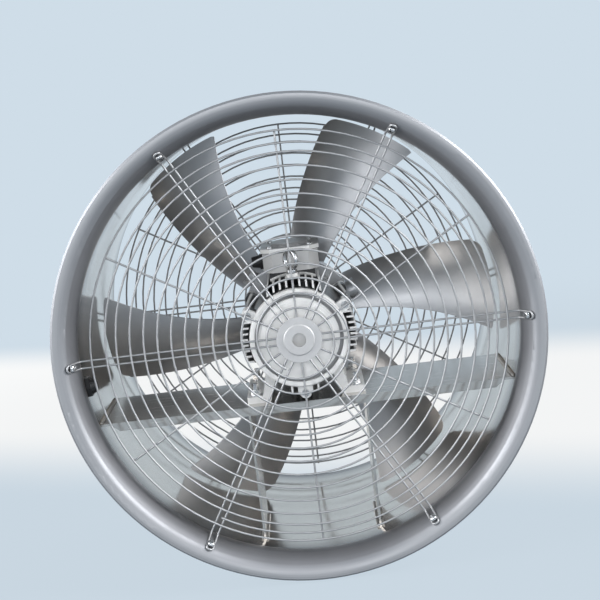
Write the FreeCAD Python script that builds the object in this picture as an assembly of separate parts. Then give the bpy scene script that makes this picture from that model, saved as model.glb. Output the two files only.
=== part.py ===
import FreeCAD, Part
import math
import os

# Axial duct fan with a foot-mounted motor, a six-blade impeller and a wire guard at each end.
# Millimetres. The origin is on the fan's axis, halfway along the casing. +Y runs along the axis from
# the motor side (front) to the impeller side (rear), +Z is up and +X is to the right seen from the front.

V = FreeCAD.Vector
ORIGIN = V(0, 0, 0)
AXIS_X = V(1, 0, 0)
AXIS_Y = V(0, 1, 0)
AXIS_Z = V(0, 0, 1)
FRONT = -1
REAR = 1

# Fits shared by many pieces
SEAT_GAP = 0.2  # between curved faces that are welded or bolted together
PRESS_GAP = 0.02  # between parts that are pressed or keyed together
RUN_GAP = 0.3  # between a turning piece and a still one
CUT_PAST = 1.0  # how far a cutting bar runs past the piece that it cuts

# Casing: spun sheet, a bellmouth with a flat lip and a curled edge at each end
THROAT_R = 300.0
SHEET = 2.0
LENGTH = 430.0
BELL_DEPTH = 42.0
BELL_FLARE = 25.0
BELL_BREAK = 35.0  # slope at which the wide arc of the bellmouth gives way to the tight one
LIP_FLAT = 3.0
CURL_R = 3.0
CURL_TAIL = 4.0

# Motor base plate and the two struts below it
PLATE_T = 3.0
PLATE_DEPTH = 160.0
PLATE_LIP = 12.0
LIP_CORNER = 10.0
STRUT_T = 3.0
STRUT_X = 82.0
STRUT_DEPTH = 120.0
STRUT_FLANGE = 20.0

# Motor, frame size 90: shaft height, foot pattern and shaft extension
SHAFT_HEIGHT = 90.0
FOOT_GAUGE = 140.0
FOOT_PITCH = 100.0
FOOT_SETBACK = 56.0
FOOT_BOLT_R = 4.0
FOOT_HOLE_R = 5.0
PLATE_HOLE_R = 4.5
SHAFT_R = 12.0
SHAFT_EXTENSION = 50.0
SHOULDER_GAP = 4.0
GUARD_CLEARANCE = 6.6  # from the front guard's wires to the motor's face

# Motor frame
FRAME_LENGTH = 153.0
FRAME_R = 68.0
FRAME_WALL = 5.0
FIN_TIP_R = 79.5
FIN_T = 2.6
FIN_PITCH = 9.0
SIDE_FIN_PITCH = 7.8
SIDE_FINS = 8
TOP_FINS = 9
BOTTOM_FINS = 5
EAR_R = 8.0
EAR_CIRCLE_R = 76.5
EAR_LENGTH = 22.0
FRONT_EAR_LENGTH = 8.0
EAR_ANGLES = (30, 150, 270)
EAR_BOLT_R = 3.0
EAR_BOLT_DEPTH = 16.0
EAR_HEAD_R = 5.0
EAR_HEAD_H = 4.0
BOX_PAD_Z = 84.0
BOX_PAD_X = 64.0
BOX_PAD_INSET = 14.0

# Motor feet
FOOT_PAD_T = 9.0
FOOT_WIDTH = 164.0
FOOT_LENGTH = 122.0
FOOT_LEG_INNER = 50.0
FOOT_LEG_OUTER = 60.0
FOOT_SEAT_LOW = 55.0
FOOT_SEAT_HIGH = 42.0
FOOT_WINDOW = 44.0

# End shields
SHIELD_R = 67.5
FRONT_SHIELD_DEPTH = 12.0
REAR_SHIELD_DEPTH = 28.0
SPIGOT_LENGTH = 7.0
SPIGOT_WALL = 6.0
SHIELD_WALL = 6.0
HOUSING_WALL = 7.0
RIM_WIDTH = 7.0
GROOVE_WIDTH = 5.0
GROOVE_DEPTH = 10.0
DISH_STEP = 1.5
DISH_STEP_WIDTH = 4.0
BOSS_R = 38.0
SEAL_R = 19.5
SEAL_DEPTH = 5.5

# Bearings
BEARING_OUTER_R = 26.0
BEARING_BORE_R = 12.5
BEARING_WIDTH = 15.0
RING_T = 4.0
WAVE_WASHER_T = 2.5
WAVE_WASHER_REST = 1.0  # how far the washer stays off the inner ring
FRONT_BEARING_INSET = 21.0
REAR_BEARING_SETBACK = 11.0

# Rotor and stator inside the motor
CORE_LENGTH = 85.0
CORE_FRONT_OFFSET = 42.0
ROTOR_R = 39.5
AIR_GAP = 0.5
CORE_SHAFT_R = 19.0
COLLAR_R = 15.0
CAGE_RING_T = 8.0
CAGE_RING_INNER_R = 26.0
WINDING_LENGTH = 17.0
WINDING_INNER_R = 43.0
WINDING_OUTER_R = 58.0
KEY_WIDTH = 8.0
KEY_HEIGHT = 7.0
KEY_DEPTH = 4.0
KEY_LENGTH = 36.0

# Terminal box
BOX_WIDTH = 78.0
BOX_DEPTH = 90.0
BOX_HEIGHT = 27.0
BOX_WALL = 3.0
BOX_CHAMFER = 13.0
BOX_SETBACK = 49.0
GASKET_T = 1.0
LID_T = 6.0
LID_OVERHANG = 2.0
LID_RISE = 4.0
LID_RISE_INSET = 12.0
LID_RISE_CHAMFER = 2.8
LID_SCREW_R = 2.5
LID_SCREW_HEAD_R = 4.5
LID_SCREW_INSET = 11.0
LID_SCREW_LENGTH = 12.0
LID_SCREW_HEAD_H = 2.5
BLOCK_WIDTH = 44.0
BLOCK_DEPTH = 30.0
BLOCK_HEIGHT = 8.0
STUD_R = 2.0
STUD_HEIGHT = 9.0
STUD_PITCH = 16.0

# Lifting eye
EYE_RING_R = 12.0
EYE_WIRE_R = 3.2
EYE_COLLAR_R = 8.0
EYE_COLLAR_H = 5.0
EYE_STUD_R = 4.0
EYE_STUD_LENGTH = 12.0
EYE_SETBACK = 31.0
EYE_TURN = 50.0

# Cable glands: a small one on the terminal box and a larger one through the duct wall
BOX_GLAND_R = 8.0
WALL_GLAND_R = 10.0
GLAND_HEX_RATIO = 2.6
GLAND_BORE_RATIO = 0.6
GLAND_SEAL_RATIO = 0.5
GLAND_CAP_RATIO = 1.15
GLAND_TIP_RATIO = 0.85
GLAND_FLANGE_T = 5.0
GLAND_CAP_LENGTH = 11.0
GLAND_TAIL = 8.0
LOCKNUT_T = 5.0
BOX_GLAND_SETBACK = 30.0
WALL_GLAND_SETBACK = 57.0
WALL_GLAND_ANGLE = 187.0

# Wire guards
GUARD_DEPTH = 25.0
GUARD_WIRE = 2.8
SPIRAL_INNER_R = 44.0
SPIRAL_PITCH = 18.0
SPIRAL_TURNS = 11
EDGE_PITCH = 13.6
EDGE_TURNS = 3
SPIRAL_START = 240.0
ARM_COUNT = 6
ARM_SPACING = 9.5
ARM_INNER_R = 22.0
ARM_BEND_R = 6.0
DISC_R = 31.0
DISC_T = 2.0
DISC_HOLE_R = 9.4
DISC_STEP_R = 20.0
DISC_STEP = 1.5
GUARD_SCREW_R = 3.0
GUARD_HOLE_R = 3.3
GUARD_HEAD_R = 5.2
GUARD_HEAD_TOP_R = 3.1
GUARD_HEAD_H = 4.0
GUARD_SCREW_SLOPE = 30.0  # slope of the bellmouth where the screws sit
GUARD_NUT_HEX = 10.0
GUARD_NUT_T = 5.0
THREAD_END = 2.5

# Foot fasteners
FOOT_NUT_HEX = 13.0
FOOT_NUT_T = 6.5
FOOT_WASHER_R = 8.0
FOOT_WASHER_T = 1.6
FOOT_HEAD_T = 5.3
FOOT_THREAD_END = 9.0

# Impeller
TIP_GAP = 5.0
HUB_R = 82.0
HUB_WIDTH = 36.0
HUB_SETBACK = 30.0  # from the shaft shoulder to the middle of the hub
HUB_BOSS_R = 27.0
HUB_POCKET_INNER_R = 32.0
HUB_POCKET_OUTER_R = 46.0
HUB_POCKET_DEPTH = 10.0
HUB_BOLT_R = 4.0
HUB_BOLT_CIRCLE_R = 70.0
HUB_BOLT_HEAD_R = 6.5
HUB_BOLT_HEAD_H = 5.0
BLADE_COUNT = 6
BLADE_ANGLE = 15.5
BLADE_HALF_ANGLE = 13.5
BLADE_ROOT_FLARE = 7.0
BLADE_SWEEP = 14.5
BLADE_AXIAL = 40.0
BLADE_ROOT_T = 11.0
BLADE_TIP_T = 5.5
BLADE_CAMBER = 0.06
BLADE_CORNER = 16.0
BLADE_EDGE = 2.0
BLADE_SPANS = 5
STEM_R = 14.0
STEM_INNER_R = 54.0
STEM_COLLAR_R = 18.0
STEM_COLLAR_INNER_R = 60.0
STEM_COLLAR_OUTER_R = 68.0
ROOT_BOSS_R = 17.0
ROOT_BOSS_H = 12.0
END_WASHER_R = 20.0
END_WASHER_T = 4.0
END_SCREW_R = 4.0
END_SCREW_LENGTH = 22.0
END_SCREW_HEAD_R = 6.5
END_SCREW_HEAD_H = 5.5

# Places that several pieces share
HALF = LENGTH / 2
RIM_R = THROAT_R + BELL_FLARE + LIP_FLAT + CURL_R
TIP_R = THROAT_R - TIP_GAP
PLATE_TOP = -SHAFT_HEIGHT
SPIRAL_W = HALF - GUARD_DEPTH
ARM_W = SPIRAL_W - GUARD_WIRE - SEAT_GAP
SPIRAL_OUTER_R = SPIRAL_INNER_R + SPIRAL_PITCH * SPIRAL_TURNS + EDGE_PITCH * EDGE_TURNS
ARM_ANGLES = [360 / ARM_COUNT * i for i in range(ARM_COUNT)]
FRONT_FACE_Y = FRONT * (ARM_W - GUARD_WIRE / 2 - GUARD_CLEARANCE)
FRAME_FRONT_Y = FRONT_FACE_Y + FRONT_SHIELD_DEPTH
FRAME_REAR_Y = FRAME_FRONT_Y + FRAME_LENGTH
FRAME_BORE_R = FRAME_R - FRAME_WALL
SHOULDER_Y = FRAME_REAR_Y + REAR_SHIELD_DEPTH + SHOULDER_GAP
FOOT_BOLT_Y = (SHOULDER_Y - FOOT_SETBACK, SHOULDER_Y - FOOT_SETBACK - FOOT_PITCH)
FOOT_MIDDLE_Y = sum(FOOT_BOLT_Y) / 2
PLATE_FRONT_Y = FOOT_MIDDLE_Y - PLATE_DEPTH / 2
PLATE_BACK_Y = PLATE_FRONT_Y + PLATE_DEPTH
FRONT_BEARING_Y = FRAME_FRONT_Y + FRONT_BEARING_INSET - BEARING_WIDTH
REAR_BEARING_Y = SHOULDER_Y - REAR_BEARING_SETBACK - BEARING_WIDTH
REAR_BEARING_END_Y = REAR_BEARING_Y + BEARING_WIDTH
CORE_FRONT_Y = FRAME_FRONT_Y + CORE_FRONT_OFFSET
CORE_REAR_Y = CORE_FRONT_Y + CORE_LENGTH
BOX_FRONT_Y = FRAME_FRONT_Y + BOX_SETBACK
BOX_MIDDLE_Y = BOX_FRONT_Y + BOX_DEPTH / 2
BOX_TOP_Z = BOX_PAD_Z + BOX_HEIGHT
LID_Z = BOX_TOP_Z + GASKET_T
BOX_GLAND_Y = BOX_FRONT_Y + BOX_GLAND_SETBACK
WALL_GLAND_Y = WALL_GLAND_SETBACK - HALF
EYE_Y = FRAME_FRONT_Y + EYE_SETBACK
HUB_MIDDLE_Y = SHOULDER_Y + HUB_SETBACK
HUB_FRONT_Y = HUB_MIDDLE_Y - HUB_WIDTH / 2
HUB_REAR_Y = HUB_MIDDLE_Y + HUB_WIDTH / 2
SHAFT_END_Y = SHOULDER_Y + SHAFT_EXTENSION


def polar(radius, angle, y=0.0):
    """Point at an angle about the fan's axis, counted from +X towards +Z."""
    a = math.radians(angle)
    return V(radius * math.cos(a), y, radius * math.sin(a))


def rod(radius, start, end):
    """Round bar between two points."""
    return Part.makeCylinder(radius, (end - start).Length, start, end - start)


def axial_rod(radius, y0, y1, x=0.0, z=0.0):
    """Round bar along the fan's axis direction."""
    return rod(radius, V(x, y0, z), V(x, y1, z))


def ring(outer_r, inner_r, y0, y1):
    """Tube about the fan's axis."""
    return axial_rod(outer_r, y0, y1).cut(axial_rod(inner_r, y0, y1))


def block(x0, x1, y0, y1, z0, z1):
    """Box between two corners."""
    return Part.makeBox(x1 - x0, y1 - y0, z1 - z0, V(x0, y0, z0))


def turned(points):
    """Solid of revolution about the fan's axis from a closed outline of (radius, y) points."""
    outline = [V(r, y, 0) for r, y in points]
    face = Part.Face(Part.makePolygon(outline + outline[:1]))
    return face.revolve(ORIGIN, AXIS_Y, 360)


def hex_prism(across_flats, height, z0=0.0):
    """Hexagonal bar along local Z."""
    corner = across_flats / math.sqrt(3)
    points = [polar(corner, 60 * i + 30) for i in range(7)]
    outline = Part.makePolygon([V(p.x, p.z, z0) for p in points])
    return Part.Face(outline).extrude(V(0, 0, height))


def upright(radius, z0, z1):
    """Round bar along local Z."""
    return Part.makeCylinder(radius, z1 - z0, V(0, 0, z0), AXIS_Z)


def placed(shape, point, direction):
    """Copy of a shape made along local Z, moved to a point and turned to a direction."""
    copy = shape.copy()
    copy.Placement = FreeCAD.Placement(point, FreeCAD.Rotation(AXIS_Z, direction))
    return copy


def about_axis(shape, angle):
    """Copy turned about the fan's axis, from +X towards +Z."""
    copy = shape.copy()
    copy.rotate(ORIGIN, AXIS_Y, -angle)
    return copy


def joined(shapes):
    """One solid from pieces that meet."""
    return shapes[0].multiFuse(shapes[1:]).removeSplitter()


def save(name, *shapes):
    """Write one node; several shapes stay separate solids in it."""
    whole = shapes[0] if len(shapes) == 1 else Part.makeCompound(list(shapes))
    whole.exportStep("parts/" + name + ".step")


# Casing

def bell_radii():
    """Radii of the wide and the tight arc that together make a bellmouth of the given depth and flare."""
    c = math.cos(math.radians(BELL_BREAK))
    n = math.sin(math.radians(BELL_BREAK))
    wide = (BELL_DEPTH - BELL_FLARE * (1 - n) / c) / (n - (1 - c) * (1 - n) / c)
    return wide, (BELL_FLARE - wide * (1 - c)) / c


def bell_point(side, slope, inset=0.0):
    """Point of a bellmouth where it has a slope, its normal into the duct and its tangent, as (r, y)."""
    wide, tight = bell_radii()
    t = math.radians(slope)
    b = math.radians(min(slope, BELL_BREAK))
    r = THROAT_R + wide * (1 - math.cos(b)) + tight * (math.cos(b) - math.cos(t))
    w = HALF - BELL_DEPTH + wide * math.sin(b) + tight * (math.sin(t) - math.sin(b))
    r += inset * math.cos(t)
    w -= inset * math.sin(t)
    return (r, side * w), (-math.cos(t), side * math.sin(t)), (math.sin(t), side * math.cos(t))


def bell_edges(side):
    """Edges of one bellmouth's section, from the straight wall to the curled edge, inside and outside."""
    edges = []
    lip_r = THROAT_R + BELL_FLARE + LIP_FLAT
    curl_w = HALF - CURL_R
    tail_w = curl_w - CURL_TAIL
    for inset in (0.0, SHEET):
        slopes = (0, BELL_BREAK / 2, BELL_BREAK, (BELL_BREAK + 90) / 2, 90)
        points = [V(*bell_point(side, slope, inset)[0], 0) for slope in slopes]
        edges.append(Part.Arc(points[0], points[1], points[2]).toShape())
        edges.append(Part.Arc(points[2], points[3], points[4]).toShape())
        bend = CURL_R - inset
        lip = V(lip_r, side * (HALF - inset), 0)
        curl = V(lip_r + bend, side * curl_w, 0)
        tail = V(lip_r + bend, side * tail_w, 0)
        edges.append(Part.LineSegment(points[4], lip).toShape())
        edges.append(Part.LineSegment(lip, curl).toShape())
        edges.append(Part.LineSegment(curl, tail).toShape())
    edges.append(Part.LineSegment(V(RIM_R - SHEET, side * tail_w, 0), V(RIM_R, side * tail_w, 0)).toShape())
    return edges


def guard_screw_frame(side, angle):
    """Place of one guard screw on the bellmouth and its direction into the duct."""
    (r, y), (nr, ny), _ = bell_point(side, GUARD_SCREW_SLOPE)
    return polar(r, angle, y), polar(nr, angle, ny)


def make_casing():
    edges = bell_edges(FRONT) + bell_edges(REAR)
    wall_w = HALF - BELL_DEPTH
    for r in (THROAT_R, THROAT_R + SHEET):
        edges.append(Part.LineSegment(V(r, -wall_w, 0), V(r, wall_w, 0)).toShape())
    profile = Part.Wire(Part.__sortEdges__(edges))
    shell = Part.Face(profile).revolve(ORIGIN, AXIS_Y, 360)
    reach = 4 * SHEET
    holes = []
    for side in (FRONT, REAR):
        for angle in ARM_ANGLES:
            point, normal = guard_screw_frame(side, angle)
            holes.append(rod(GUARD_HOLE_R, point - normal * reach, point + normal * reach))
    point, inward, _ = wall_gland_frame()
    holes.append(rod(WALL_GLAND_R + SEAT_GAP, point - inward * reach, point + inward * reach))
    return shell.cut(Part.makeCompound(holes))


# Motor base plate and struts

def inside_duct(shape):
    """Trim a piece to the duct's inner wall, less the weld gap."""
    return shape.common(axial_rod(THROAT_R - SEAT_GAP, -HALF, HALF))


def foot_holes(radius, z0, z1):
    """Bars through the four foot bolt places."""
    bars = []
    for x in (-FOOT_GAUGE / 2, FOOT_GAUGE / 2):
        for y in FOOT_BOLT_Y:
            bars.append(rod(radius, V(x, y, z0), V(x, y, z1)))
    return bars


def make_base_plate():
    bottom = PLATE_TOP - PLATE_T
    web = block(-THROAT_R, THROAT_R, PLATE_FRONT_Y, PLATE_BACK_Y, bottom, PLATE_TOP)
    half_chord = math.sqrt(THROAT_R ** 2 - (PLATE_TOP - PLATE_LIP) ** 2) - LIP_CORNER
    lip_points = [
        V(-half_chord, 0, bottom),
        V(half_chord, 0, bottom),
        V(half_chord - PLATE_LIP, 0, PLATE_TOP - PLATE_LIP),
        V(-half_chord + PLATE_LIP, 0, PLATE_TOP - PLATE_LIP),
    ]
    outline = Part.Face(Part.makePolygon(lip_points + lip_points[:1]))
    lips = []
    for y in (PLATE_FRONT_Y, PLATE_BACK_Y - PLATE_T):
        lip = outline.extrude(V(0, PLATE_T, 0))
        lip.translate(V(0, y, 0))
        lips.append(lip)
    plate = inside_duct(joined([web] + lips))
    return plate.cut(Part.makeCompound(foot_holes(PLATE_HOLE_R, bottom - CUT_PAST, PLATE_TOP + CUT_PAST)))


def make_strut(side):
    top = PLATE_TOP - PLATE_T
    y0 = FOOT_MIDDLE_Y - STRUT_DEPTH / 2
    y1 = y0 + STRUT_DEPTH
    x0 = STRUT_X - STRUT_T / 2
    x1 = STRUT_X + STRUT_T / 2
    sheet = block(x0, x1, y0, y1, -THROAT_R, top)
    flange = block(x1, x1 + STRUT_FLANGE, y0, y1, top - STRUT_T, top)
    strut = inside_duct(joined([sheet, flange]))
    if side < 0:
        return strut.mirror(ORIGIN, AXIS_X)
    return strut


# Motor housing

def make_frame():
    y0 = FRAME_FRONT_Y
    y1 = FRAME_REAR_Y
    fins = []
    for i in range(SIDE_FINS):
        z = (i - (SIDE_FINS - 1) / 2) * SIDE_FIN_PITCH
        fins.append(block(-FIN_TIP_R, FIN_TIP_R, y0, y1, z - FIN_T / 2, z + FIN_T / 2))
    for count, direction in ((TOP_FINS, 1), (BOTTOM_FINS, -1)):
        for i in range(count):
            x = (i - (count - 1) / 2) * FIN_PITCH
            z0, z1 = sorted((0, direction * FIN_TIP_R))
            fins.append(block(x - FIN_T / 2, x + FIN_T / 2, y0, y1, z0, z1))
    tips = axial_rod(FIN_TIP_R, y0, y1)
    pieces = [axial_rod(FRAME_R, y0, y1)] + [fin.common(tips) for fin in fins]
    half_pad = BOX_PAD_X / 2
    pad_front = BOX_FRONT_Y + BOX_PAD_INSET
    pieces.append(block(-half_pad, half_pad, pad_front, BOX_FRONT_Y + BOX_DEPTH, 0, BOX_PAD_Z))
    pieces.append(rod(EYE_COLLAR_R, V(0, EYE_Y, 0), V(0, EYE_Y, BOX_PAD_Z)))
    for angle in EAR_ANGLES:
        pieces.append(ear(angle, y0, y0 + EAR_LENGTH))
        pieces.append(ear(angle, y1 - EAR_LENGTH, y1))
    frame = joined(pieces).cut(axial_rod(FRAME_BORE_R, y0, y1))
    holes = [
        ear_holes(EAR_BOLT_R + PRESS_GAP, y0, y0 + EAR_BOLT_DEPTH),
        ear_holes(EAR_BOLT_R + PRESS_GAP, y1 - EAR_BOLT_DEPTH, y1),
    ]
    eye_hole = V(0, EYE_Y, BOX_PAD_Z)
    holes.append(rod(EYE_STUD_R + PRESS_GAP, eye_hole - AXIS_Z * EYE_STUD_LENGTH, eye_hole))
    return frame.cut(Part.makeCompound(holes))


def make_foot(side):
    pad_top = PLATE_TOP + FOOT_PAD_T
    seat_r = FRAME_R + SEAT_GAP
    high = polar(seat_r, -FOOT_SEAT_HIGH)
    low = polar(seat_r, -FOOT_SEAT_LOW)
    points = [
        V(FOOT_LEG_INNER, 0, PLATE_TOP),
        V(FOOT_WIDTH / 2, 0, PLATE_TOP),
        V(FOOT_WIDTH / 2, 0, pad_top),
        V(FOOT_LEG_OUTER, 0, pad_top),
        high,
        polar(FRAME_BORE_R, -FOOT_SEAT_LOW),
        low,
    ]
    outline = Part.Face(Part.makePolygon(points + points[:1]))
    foot = outline.extrude(V(0, FOOT_LENGTH, 0))
    foot.translate(V(0, FOOT_MIDDLE_Y - FOOT_LENGTH / 2, 0))
    foot = foot.cut(axial_rod(seat_r, FRAME_FRONT_Y - FOOT_LENGTH, FRAME_REAR_Y + FOOT_LENGTH))
    window = block(
        0,
        FOOT_WIDTH,
        FOOT_MIDDLE_Y - FOOT_WINDOW / 2,
        FOOT_MIDDLE_Y + FOOT_WINDOW / 2,
        pad_top,
        low.z - FOOT_PAD_T,
    )
    foot = foot.cut(window)
    foot = foot.cut(Part.makeCompound(foot_holes(FOOT_HOLE_R, PLATE_TOP - CUT_PAST, pad_top + CUT_PAST)))
    if side < 0:
        return foot.mirror(ORIGIN, AXIS_X)
    return foot


def ear(angle, y0, y1):
    """One bolt lug, with its web down to the round body."""
    lug = axial_rod(EAR_R, y0, y1, EAR_CIRCLE_R)
    web = block(FRAME_BORE_R, EAR_CIRCLE_R, y0, y1, -EAR_R, EAR_R)
    return about_axis(joined([lug, web]), angle)


def ear_holes(radius, y0, y1):
    places = [polar(EAR_CIRCLE_R, angle) for angle in EAR_ANGLES]
    return Part.makeCompound([axial_rod(radius, y0, y1, p.x, p.z) for p in places])


def make_front_shield():
    face = FRONT_FACE_Y
    join = FRAME_FRONT_Y
    spigot_r = FRAME_BORE_R - PRESS_GAP
    cavity_r = spigot_r - SPIGOT_WALL
    rim_inner = SHIELD_R - RIM_WIDTH
    dish_r = rim_inner - GROOVE_WIDTH
    groove_y = face + GROOVE_DEPTH
    cavity_y = groove_y + SHIELD_WALL
    seat_r = BEARING_OUTER_R + PRESS_GAP
    seat_y = FRONT_BEARING_Y - WAVE_WASHER_T
    step_r = dish_r - DISH_STEP_WIDTH
    inner_step_r = step_r - DISH_STEP_WIDTH
    housing_end = FRONT_BEARING_Y + BEARING_WIDTH
    body = turned([
        (0, face),
        (inner_step_r, face),
        (inner_step_r, face + DISH_STEP),
        (step_r, face + DISH_STEP),
        (step_r, face + 2 * DISH_STEP),
        (dish_r, face + 2 * DISH_STEP),
        (dish_r, groove_y),
        (rim_inner, groove_y),
        (rim_inner, face),
        (SHIELD_R - DISH_STEP, face),
        (SHIELD_R, face + DISH_STEP),
        (SHIELD_R, join),
        (spigot_r, join),
        (spigot_r, join + SPIGOT_LENGTH),
        (cavity_r, join + SPIGOT_LENGTH),
        (cavity_r, cavity_y),
        (seat_r + HOUSING_WALL, cavity_y),
        (seat_r + HOUSING_WALL, housing_end),
        (seat_r, housing_end),
        (seat_r, seat_y),
        (COLLAR_R, seat_y),
        (COLLAR_R, seat_y - SHIELD_WALL),
        (0, seat_y - SHIELD_WALL),
    ])
    lugs = [ear(angle, join - FRONT_EAR_LENGTH, join) for angle in EAR_ANGLES]
    return joined([body] + lugs).cut(ear_holes(EAR_BOLT_R + SEAT_GAP, face, join))


def make_rear_shield():
    join = FRAME_REAR_Y
    boss_y = join + REAR_SHIELD_DEPTH
    spigot_r = FRAME_BORE_R - PRESS_GAP
    cavity_r = spigot_r - SPIGOT_WALL
    seat_r = BEARING_OUTER_R + PRESS_GAP
    seat_y = REAR_BEARING_END_Y
    seal_y = boss_y - SEAL_DEPTH
    body = turned([
        (cavity_r, join - SPIGOT_LENGTH),
        (spigot_r, join - SPIGOT_LENGTH),
        (spigot_r, join),
        (SHIELD_R, join),
        (SHIELD_R, join + SHIELD_WALL),
        (SHIELD_R - SHIELD_WALL, join + 2 * SHIELD_WALL),
        (BOSS_R + SHIELD_WALL, boss_y - SHIELD_WALL),
        (BOSS_R, boss_y),
        (SEAL_R + PRESS_GAP, boss_y),
        (SEAL_R + PRESS_GAP, seal_y),
        (SEAL_R - DISH_STEP_WIDTH, seal_y),
        (SEAL_R - DISH_STEP_WIDTH, seat_y),
        (seat_r, seat_y),
        (seat_r, REAR_BEARING_Y),
        (seat_r + HOUSING_WALL, REAR_BEARING_Y),
        (seat_r + HOUSING_WALL, join + SHIELD_WALL),
        (cavity_r, join),
    ])
    lugs = [ear(angle, join, join + 2 * SHIELD_WALL) for angle in EAR_ANGLES]
    return joined([body] + lugs).cut(ear_holes(EAR_BOLT_R + SEAT_GAP, join, boss_y))


def make_shield_bolts():
    bolts = []
    rear_face = FRAME_REAR_Y + 2 * SHIELD_WALL
    places = (
        (FRAME_FRONT_Y - FRONT_EAR_LENGTH, FRONT, FRAME_FRONT_Y + EAR_BOLT_DEPTH),
        (rear_face, REAR, FRAME_REAR_Y - EAR_BOLT_DEPTH),
    )
    for angle in EAR_ANGLES:
        p = polar(EAR_CIRCLE_R, angle)
        for seat, side, tip in places:
            head = axial_rod(EAR_HEAD_R, seat, seat + side * EAR_HEAD_H, p.x, p.z)
            bolts.append(joined([head, axial_rod(EAR_BOLT_R, seat, tip, p.x, p.z)]))
    return bolts


# Bearings, rotor and stator

def make_bearing(y0):
    """Outer ring with its side shields and inner ring of one shielded bearing."""
    y1 = y0 + BEARING_WIDTH
    inner_r = BEARING_BORE_R + RING_T
    outer = ring(BEARING_OUTER_R, inner_r + RUN_GAP, y0, y1)
    inner = ring(inner_r, BEARING_BORE_R + PRESS_GAP, y0, y1)
    return outer, inner


def make_shaft():
    front_end = FRONT_BEARING_Y - WAVE_WASHER_T
    front_collar = FRONT_BEARING_Y + BEARING_WIDTH
    shaft = turned([
        (0, front_end),
        (BEARING_BORE_R, front_end),
        (BEARING_BORE_R, front_collar),
        (COLLAR_R, front_collar),
        (COLLAR_R, CORE_FRONT_Y - CAGE_RING_T),
        (CORE_SHAFT_R, CORE_FRONT_Y - CAGE_RING_T),
        (CORE_SHAFT_R, CORE_REAR_Y + CAGE_RING_T),
        (COLLAR_R, CORE_REAR_Y + CAGE_RING_T),
        (COLLAR_R, REAR_BEARING_Y),
        (BEARING_BORE_R, REAR_BEARING_Y),
        (BEARING_BORE_R, SHOULDER_Y),
        (SHAFT_R, SHOULDER_Y),
        (SHAFT_R, SHAFT_END_Y),
        (0, SHAFT_END_Y),
    ])
    thread = axial_rod(END_SCREW_R + PRESS_GAP, SHAFT_END_Y - END_SCREW_LENGTH - CUT_PAST, SHAFT_END_Y)
    return shaft.cut(thread).cut(key_shape(PRESS_GAP))


def key_shape(gap):
    """Parallel key, or its keyway with a gap all round."""
    half = KEY_WIDTH / 2 + gap
    y0 = HUB_MIDDLE_Y - KEY_LENGTH / 2
    z0 = SHAFT_R - KEY_DEPTH
    return block(-half, half, y0 - gap, y0 + KEY_LENGTH + gap, z0 - gap, z0 + KEY_HEIGHT + gap)


def make_rotor_core():
    core = ring(ROTOR_R, CORE_SHAFT_R + PRESS_GAP, CORE_FRONT_Y, CORE_REAR_Y)
    front = ring(ROTOR_R - CAGE_RING_T / 2, CAGE_RING_INNER_R, CORE_FRONT_Y - CAGE_RING_T, CORE_FRONT_Y)
    rear = ring(ROTOR_R - CAGE_RING_T / 2, CAGE_RING_INNER_R, CORE_REAR_Y, CORE_REAR_Y + CAGE_RING_T)
    return joined([core, front, rear])


def make_winding(y0):
    """Head of the stator winding beside the core, with its edges taken off."""
    bevel = (WINDING_OUTER_R - WINDING_INNER_R) / 4
    y1 = y0 + WINDING_LENGTH
    return turned([
        (WINDING_INNER_R, y0 + bevel),
        (WINDING_INNER_R, y1 - bevel),
        (WINDING_INNER_R + bevel, y1),
        (WINDING_OUTER_R - bevel, y1),
        (WINDING_OUTER_R, y1 - bevel),
        (WINDING_OUTER_R, y0 + bevel),
        (WINDING_OUTER_R - bevel, y0),
        (WINDING_INNER_R + bevel, y0),
    ])


# Terminal box

def chamfered(width, depth, chamfer, z0, z1):
    """Upright block over the terminal box's middle with its four corners cut off."""
    x = width / 2
    y = depth / 2
    corners = [
        (x - chamfer, -y),
        (x, -y + chamfer),
        (x, y - chamfer),
        (x - chamfer, y),
        (chamfer - x, y),
        (-x, y - chamfer),
        (-x, -y + chamfer),
        (chamfer - x, -y),
    ]
    points = [V(px, BOX_MIDDLE_Y + py, z0) for px, py in corners]
    return Part.Face(Part.makePolygon(points + points[:1])).extrude(V(0, 0, z1 - z0))


def lid_screw_places():
    x = BOX_WIDTH / 2 - LID_SCREW_INSET
    y = BOX_DEPTH / 2 - LID_SCREW_INSET
    return [(sx * x, BOX_MIDDLE_Y + sy * y) for sx in (-1, 1) for sy in (-1, 1)]


def box_gland_frame():
    """Place of the terminal box's gland on the left wall, its outward direction and the wall's thickness."""
    z = (BOX_PAD_Z + BOX_WALL + BOX_TOP_Z) / 2
    return V(-BOX_WIDTH / 2, BOX_GLAND_Y, z), -AXIS_X, BOX_WALL


def make_terminal_box():
    outer = chamfered(BOX_WIDTH, BOX_DEPTH, BOX_CHAMFER, BOX_PAD_Z, BOX_TOP_Z)
    inset = 2 * BOX_WALL
    inner = chamfered(BOX_WIDTH - inset, BOX_DEPTH - inset, BOX_CHAMFER, BOX_PAD_Z + BOX_WALL, BOX_TOP_Z)
    pieces = [outer.cut(inner)]
    holes = []
    for x, y in lid_screw_places():
        post = rod(LID_SCREW_R + BOX_WALL, V(x, y, BOX_PAD_Z), V(x, y, BOX_TOP_Z))
        pieces.append(post.common(outer))
        bottom = V(x, y, BOX_TOP_Z - LID_SCREW_LENGTH)
        holes.append(rod(LID_SCREW_R + PRESS_GAP, bottom, V(x, y, BOX_TOP_Z)))
    point, out, wall = box_gland_frame()
    holes.append(rod(BOX_GLAND_R + PRESS_GAP, point + out * CUT_PAST, point - out * (wall + CUT_PAST)))
    return joined(pieces).cut(Part.makeCompound(holes))


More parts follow.
